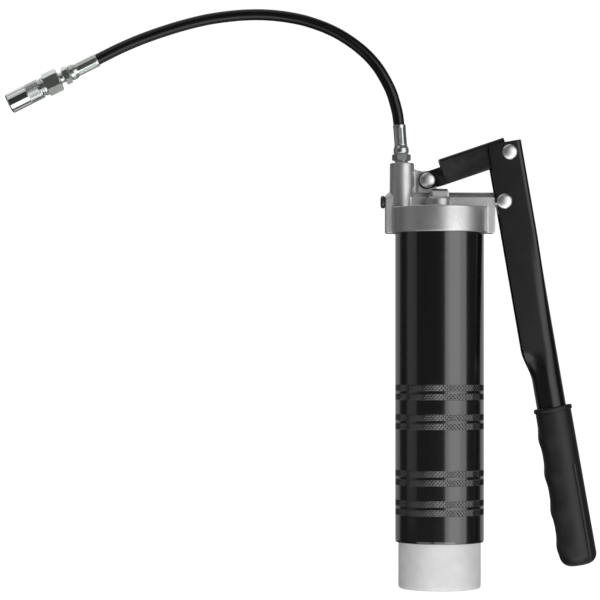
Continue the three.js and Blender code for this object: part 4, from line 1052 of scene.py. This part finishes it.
# %% [markdown]
# The follower piston runs inside the cartridge and presses the grease up. It is a thin plastic cup whose lip
# bears on the wall, so its size comes from the frame and only its corners are eased.

# %% The follower piston
follower_low, follower_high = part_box("follower_piston")
lip_radius = follower_high.x
follower = turned("follower_cup", [
    (0, follower_high.z - 1.6 * MM), (lip_radius - 5 * MM, follower_high.z - 1.6 * MM, MM),
    (lip_radius - 1.6 * MM, follower_low.z + 6 * MM, 2 * MM),
    (lip_radius - 1.2 * MM, follower_low.z, 0.2 * MM),
    (lip_radius, follower_low.z, 0.2 * MM), (lip_radius, follower_low.z + 7 * MM, MM),
    (lip_radius - 4.4 * MM, follower_high.z, 1.5 * MM), (0, follower_high.z),
], sides=128)
finished(follower, "follower", "piston_plastic", piston_plastic, "follower_piston")
print("follower lip", round(lip_radius * 2000, 1), "mm wide")

# %% [markdown]
# The link is stamped from sheet and bent to a channel with its web on top. Its long corners are bends, with a
# radius of about the sheet's thickness. Towards the head its two sides step inwards, to close on the lug.
# It is the overlap of three outlines, seen from the side, from above and along its length. The step in its
# plan is a straight slope, and the bevel eases both ends of it.

# %% The link
lever_pivot = Vector(joints["lever_swing"]["pos_m"])
LINK_LENGTH = (lever_pivot - link_pivot).length
link_turn = -math.atan2(lever_pivot.z - link_pivot.z, lever_pivot.x - link_pivot.x)
SHEET = 2 * MM
LINK_HALF, EAR_HALF = 6.45 * MM, 5.2 * MM
LINK_TOP, LINK_BOTTOM, EAR_RADIUS = 10.5 * MM, -5.9 * MM, 5.5 * MM
STEP = (5.4 * MM, 11.2 * MM)
WEB_START, WEB_END = STEP[1] + 0.3 * MM, LINK_LENGTH - 0.5 * MM
side_view = (arc((0, 0), EAR_RADIUS, 90, 270, 20) + [(STEP[1] - 2 * MM, LINK_BOTTOM)]
             + arc((LINK_LENGTH, 0), -LINK_BOTTOM, -90, 90, 20)
             + [(WEB_END, -LINK_BOTTOM), (WEB_END, LINK_TOP),
                (WEB_START, LINK_TOP), (WEB_START, EAR_RADIUS), (STEP[0], EAR_RADIUS)])


def link_plan(narrow, wide, past):
    ends = (-20 * MM - past, LINK_LENGTH + 20 * MM + past)
    lower = [(ends[0], -narrow), (STEP[0], -narrow), (STEP[1], -wide), (ends[1], -wide)]
    return lower + [(x, -y) for x, y in reversed(lower)]


link = block(side_view, "Y", -20 * MM, 20 * MM)
plan = block(link_plan(EAR_HALF, LINK_HALF, 0), "Z", -20 * MM, 20 * MM)
tunnel = block(rounded_box((-LINK_HALF, -15 * MM), (LINK_HALF, LINK_TOP), 2.2 * MM, 6),
               "X", -30 * MM, 90 * MM)
boolean(link, [plan, tunnel], "INTERSECT")
hollow = block(link_plan(EAR_HALF - SHEET, LINK_HALF - SHEET, MM), "Z", -19 * MM, LINK_TOP - SHEET)
boolean(link, [hollow], "DIFFERENCE")
link.name = "link_channel"
softened(link, 0.3 * MM)
link.matrix_world = plane_frame(link_pivot, link_turn)
finished(link, "link", "lever_coat", coating, "link")
print("link tilt", round(-math.degrees(link_turn), 1), "degrees")

# %% [markdown]
# The lever starts as a flat strip. Its upper part is folded to a channel, and lower down the same strip is
# rolled until its edges meet, which makes a tube. So it is modelled as the strip: every cross-section is
# one line of fixed points, and the line's shape blends from a U to a circle. Solidify gives it thickness.

# %% The lever
LEVER_TILT = math.radians(9.84)
LEVER_HALF, LEVER_WEB, LEVER_EDGE, LEVER_TOP = 8.75 * MM, 8.85 * MM, -13.3 * MM, 7 * MM
BENDS = (3 * MM, 8 * MM)
BEND_SPAN = (-50 * MM, -126 * MM)
CHANNEL_END, TUBE_START, TUBE_END = -128 * MM, -149 * MM, -255 * MM
TUBE_RADIUS, TUBE_OFFSET = 9.5 * MM, -0.6 * MM
CORNER = 3 * MM
STRIP_STEPS = 96


def strip_line(points_on):
    lengths = [0.0]
    for a, b in zip(points_on, points_on[1:]):
        lengths.append(lengths[-1] + (Vector(b) - Vector(a)).length)
    total = lengths[-1]
    line_points, at = [], 0
    for i in range(STRIP_STEPS + 1):
        goal = total * i / STRIP_STEPS
        while at < len(lengths) - 2 and lengths[at + 1] < goal:
            at += 1
        span = lengths[at + 1] - lengths[at]
        t = (goal - lengths[at]) / span
        line_points.append(Vector(points_on[at]).lerp(Vector(points_on[at + 1]), t))
    return line_points


def channel_section(bend):
    return strip_line([(LEVER_EDGE, -LEVER_HALF)]
                      + arc((LEVER_WEB - bend, -LEVER_HALF + bend), bend, -90, 0, 16)
                      + arc((LEVER_WEB - bend, LEVER_HALF - bend), bend, 0, 90, 16)
                      + [(LEVER_EDGE, LEVER_HALF)])


channel_line = channel_section(BENDS[0])
round_line = channel_section(BENDS[1])
tube_line = strip_line(arc((TUBE_OFFSET, 0), TUBE_RADIUS, -178.5, 178.5, STRIP_STEPS))
strip_width = sum((b - a).length for a, b in zip(channel_line, channel_line[1:]))
print("strip width", round(strip_width * 1000, 1), "mm")

# %% [markdown]
# The rows of the strip go down from its top end, where its corners are rounded. First the bends widen towards
# the grip, then the strip rolls up into the tube, and then the tube runs straight on.


# %% The rows of the strip
def smooth(t):
    t = min(1.0, max(0.0, t))
    return t * t * (3 - 2 * t)


def top_of_strip(point):
    from_edge = point.x - LEVER_EDGE
    if from_edge >= CORNER:
        return LEVER_TOP
    return LEVER_TOP - CORNER + math.sqrt(max(0.0, CORNER ** 2 - (CORNER - from_edge) ** 2))


channel_shares = [0.0, 0.004, 0.02, 0.06] + [i / 32 for i in range(3, 33)]
rows = []
for t in channel_shares:
    row = []
    for point, rounder in zip(channel_line, round_line):
        top = top_of_strip(point)
        z = top + (CHANNEL_END - top) * t
        x, y = point.lerp(rounder, smooth((z - BEND_SPAN[0]) / (BEND_SPAN[1] - BEND_SPAN[0])))
        row.append((x, y, z))
    rows.append(row)
ROLL_STEPS = 40
for i in range(1, ROLL_STEPS + 1):
    z = CHANNEL_END + (TUBE_START - CHANNEL_END) * i / ROLL_STEPS
    t = smooth(i / ROLL_STEPS)
    rows.append([(*a.lerp(b, t), z) for a, b in zip(round_line, tube_line)])
TUBE_STEPS = 12
for i in range(1, TUBE_STEPS + 1):
    z = TUBE_START + (TUBE_END - TUBE_START) * i / TUBE_STEPS
    rows.append([(p.x, p.y, z) for p in tube_line])
print("strip rows:", len(rows))

# %% [markdown]
# The rows become one open sheet, and Solidify thickens it inwards, so the outlines above are those of the
# outside. The sheet's faces may point either way, so the sign of the thickness follows from one face.

# %% The lever becomes sheet metal
build = bmesh.new()
made = [[build.verts.new(point) for point in row] for row in rows]
for low_row, high_row in zip(made, made[1:]):
    for i in range(len(low_row) - 1):
        build.faces.new((low_row[i], low_row[i + 1], high_row[i + 1], high_row[i]))
bmesh.ops.recalc_face_normals(build, faces=build.faces)
mesh = bpy.data.meshes.new("lever_strip")
build.to_mesh(mesh)
build.free()
lever = new_object("lever_strip", mesh, plane_frame(lever_pivot, -LEVER_TILT))
web_face = lever.data.polygons[40]
from_axis = Vector((web_face.center.x, web_face.center.y, 0))
outwards = web_face.normal.dot(from_axis)
thick = lever.modifiers.new("sheet", "SOLIDIFY")
thick.thickness = SHEET
thick.offset = -1 if outwards > 0 else 1
thick.use_even_offset = False
applied(lever)
softened(lever, 0.25 * MM, 2, 60)
finished(lever, "lever", "lever_coat", coating, "lever")
print("lever:", len(lever.data.polygons), "faces")

# %% [markdown]
# The grip is a rubber sleeve pushed over the tube. Its mouth has a rolled rim, the side that faces the barrel
# has low ridges between the fingers, and the mould has left a fine seam down each side. All of that is one
# formula for the radius at each angle and height.

# %% The grip
GRIP_TOP, GRIP_END = -167.3 * MM, -271.5 * MM
GRIP_RADIUS = 11.6 * MM
RIM_RADIUS = 12.5 * MM
RIM_HEIGHT = 3 * MM
END_ROUND = 7 * MM
RIDGES, RIDGE_RISE = 4, 1.05 * MM
RIDGE_FIRST, RIDGE_SPACING = -187 * MM, 23.7 * MM
SEAM_ANGLE = math.radians(-58)
SEAM_DEPTH, SEAM_HALF, SEAM_TOP = 0.2 * MM, 1.2 * MM, -205 * MM


def grip_reach(angle, radius, height):
    if radius < 10 * MM or height > GRIP_TOP - RIM_HEIGHT:
        return radius
    number = (RIDGE_FIRST - height) / RIDGE_SPACING
    off_ridge = min(0.5, abs(number - min(RIDGES - 1, max(0, round(number)))))
    ridge = RIDGE_RISE * max(0.0, -math.cos(angle)) * math.cos(math.pi * off_ridge) ** 4
    seam = 0.0
    for side in (0, math.pi):
        off_seam = abs((angle - SEAM_ANGLE - side + math.pi) % (2 * math.pi) - math.pi) * radius
        if off_seam < SEAM_HALF and height < SEAM_TOP:
            seam = -SEAM_DEPTH * math.cos(off_seam / SEAM_HALF * math.pi)
    return radius + ridge + seam


def grip_radius(height):
    return GRIP_RADIUS + 0.4 * MM * (height - GRIP_TOP) / (GRIP_END - GRIP_TOP)


BODY_STEPS, END_STEPS = 110, 14
body_top, body_foot = GRIP_TOP - RIM_HEIGHT - 0.7 * MM, GRIP_END + END_ROUND
body_heights = [body_top + (body_foot - body_top) * i / BODY_STEPS for i in range(BODY_STEPS + 1)]
body_rows = [(grip_radius(height), height) for height in body_heights]
end_angles = [math.pi / 2 * i / END_STEPS for i in range(1, END_STEPS + 1)]
end_rows = [(grip_radius(body_foot) - END_ROUND * (1 - math.cos(a)), body_foot - END_ROUND * math.sin(a))
            for a in end_angles]
inner = TUBE_RADIUS + 0.15 * MM
rim_foot = GRIP_TOP - RIM_HEIGHT + 0.2 * MM
grip_outline = [
    (inner, GRIP_TOP - 6 * MM), (inner, GRIP_TOP, 0.3 * MM), (RIM_RADIUS - 0.2 * MM, GRIP_TOP, 0.8 * MM),
    (RIM_RADIUS, GRIP_TOP - RIM_HEIGHT / 2, MM), (RIM_RADIUS - 0.2 * MM, rim_foot, 0.4 * MM),
    (GRIP_RADIUS - 0.1 * MM, GRIP_TOP - RIM_HEIGHT, 0.2 * MM), *body_rows, *end_rows,
]
grip = turned("grip_sleeve", grip_outline, plane_frame(lever_pivot, -LEVER_TILT), 384, grip_reach, 4)
finished(grip, "lever", "grip_rubber", grip_rubber, "grip")
print("grip", round((GRIP_TOP - GRIP_END) * 1000, 1), "mm long")

# %% [markdown]
# The pivots are rivets with a low dome on each side. A dome is an arc of a profile, and the arc meets the
# plate with a small upright edge, where a thin dark line of shadow collects.


# %% The rivets
def rivet(name, pivot, half_width, body, node):
    face = half_width + 0.3 * MM
    head, rise = 4.95 * MM, 2.3 * MM
    dome = [(head * math.cos(a), face + 0.5 * MM + (rise - 0.5 * MM) * math.sin(a))
            for a in [math.pi / 2 * i / 12 for i in range(13)]]
    dome[-1] = (0, face + rise)
    upper = [(2.5 * MM, face), (head - 0.15 * MM, face), (head, face + 0.15 * MM), *dome]
    outline = [(r, -z) for r, z in reversed(upper)] + upper
    across = Matrix.Translation(pivot) @ Matrix.Rotation(math.pi / 2, 4, "X")
    print(name, round(2000 * (face + rise), 1), "mm long")
    return finished(turned(name, outline, across, 64), body, "rivet_steel", rivet_steel, node)


plunger_pivot = Vector((41.5 * MM, 0, PUMP_AXIS))
rivet("link_rivet", link_pivot, EAR_HALF, "link", "link_pin")
rivet("lever_rivet", lever_pivot, LEVER_HALF, "lever", "lever_pin")
rivet("plunger_rivet", plunger_pivot, LEVER_HALF, "lever", "plunger_pin")

# %% [markdown]
# The plunger is a ground rod with a flat eye for its pin. The eye is slotted, because the pin swings on an
# arc while the plunger runs straight. The rod is turned, the eye is a block joined to it, and then the slot
# is cut through both.

# %% The plunger
eye_low, eye_high = HEAD_RIGHT + 1.5 * MM, 48 * MM
plunger_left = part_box("pump_plunger")[0].x
rod_radius, rod_end = 3.2 * MM, eye_low + 2 * MM
shaft = turned("plunger_rod", [(0, plunger_left), (rod_radius, plunger_left, 0.4 * MM), (rod_radius, rod_end),
                               (0, rod_end)], along_x(0, PUMP_AXIS), 64)
eye = block(rounded_box((eye_low, PUMP_AXIS - 8 * MM), (eye_high, PUMP_AXIS + 5 * MM), 2.5 * MM), "Y",
            -4 * MM, 4 * MM)
slot_end = (1.1 * MM, -2.5 * MM)
SLOT_RADIUS = 3 * MM
slot_turn = math.degrees(math.atan2(slot_end[1], slot_end[0]))
far_centre = (plunger_pivot.x + slot_end[0], PUMP_AXIS + slot_end[1])
pin_slot = (arc((plunger_pivot.x, PUMP_AXIS), SLOT_RADIUS, slot_turn + 90, slot_turn + 270, 14)
            + arc(far_centre, SLOT_RADIUS, slot_turn - 90, slot_turn + 90, 14))
boolean(shaft, [softened(eye, 0.4 * MM)], "UNION")
boolean(shaft, [block(pin_slot, "Y", -6 * MM, 6 * MM)], "DIFFERENCE")
shade(shaft.data)
finished(shaft, "plunger", "plain_steel", ground_steel, "pump_plunger")
print("plunger", round((eye_high - plunger_left) * 1000, 1), "mm long")

# %% [markdown]
# Three small turned pieces close the head: a ring that holds the plunger's seal, a plug with a hexagon
# socket at the other end of the bore, and a slotted screw that lets trapped air out. Their sizes come from
# the frame.

# %% The gland ring, the end plug and the bleed valve
gland_low, gland_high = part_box("gland_ring")
gland = turned("gland_turned", [
    (3.5 * MM, gland_low.x), (4.9 * MM, gland_low.x), (4.9 * MM, gland_high.x, 0.3 * MM),
    (3.5 * MM, gland_high.x, 0.3 * MM), (3.5 * MM, gland_low.x)], along_x(0, PUMP_AXIS), 64)
finished(gland, "gun", "plain_steel", ground_steel, "gland_ring")

plug_low, plug_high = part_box("end_plug")
plug_face = HEAD_LEFT - 0.1 * MM
plug = turned("bore_plug", [
    (0, plug_low.x), (3.4 * MM, plug_low.x, 0.6 * MM), (4.1 * MM, plug_low.x + 0.9 * MM, 0.4 * MM),
    (4.1 * MM, plug_face - 0.3 * MM, 0.3 * MM), (3.2 * MM, plug_face),
    (3.2 * MM, plug_high.x), (0, plug_high.x),
], along_x(0, PUMP_AXIS), 64)
KEY_RADIUS = 2 * MM
key_angles = [i * math.pi / 3 for i in range(6)]
key = block([(KEY_RADIUS * math.cos(a), PUMP_AXIS + KEY_RADIUS * math.sin(a)) for a in key_angles],
            "X", plug_low.x - MM, plug_low.x + 2 * MM)
boolean(plug, [key], "DIFFERENCE")
shade(plug.data)
finished(plug, "gun", "dark_steel", dark_steel, "end_plug")

valve_low, valve_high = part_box("bleed_valve")
valve = turned("bleed_screw", [
    (0, valve_low.z), (2.2 * MM, valve_low.z, 0.3 * MM), (2.2 * MM, BLOCK_TOP + 0.1 * MM),
    (5.2 * MM, BLOCK_TOP + 0.1 * MM, 0.2 * MM), (5.2 * MM, valve_high.z, 0.35 * MM), (0, valve_high.z),
], Matrix.Translation((BLEED_X, BLEED_Y, 0)), 64)
left, right = BLEED_X - 8 * MM, BLEED_X + 8 * MM
front, back = BLEED_Y - 0.5 * MM, BLEED_Y + 0.5 * MM
groove = block([(left, front), (right, front), (right, back), (left, back)],
               "Z", valve_high.z - 0.5 * MM, valve_high.z + MM)
boolean(valve, [groove], "DIFFERENCE")
shade(valve.data)
finished(valve, "bleed_valve", "dark_steel", dark_steel, "bleed_valve")
print("gland, plug and bleed screw made")

# %% [markdown]
# A few pieces stay hidden inside the head and the coupler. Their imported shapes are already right, so they
# only need their finish.

# %% Pieces that stay as packed
HIDDEN_FINISHES = {
    "check_ball": rivet_steel,
    "check_spring": ground_steel,
    "plunger_seal": seal_rubber,
    "cartridge_gasket": seal_rubber,
    "coupler_seal": seal_rubber,
}
for node, material in HIDDEN_FINISHES.items():
    frame["nodes"][node].material_slots[0].material = material
print("pieces kept as packed:", len(HIDDEN_FINISHES))
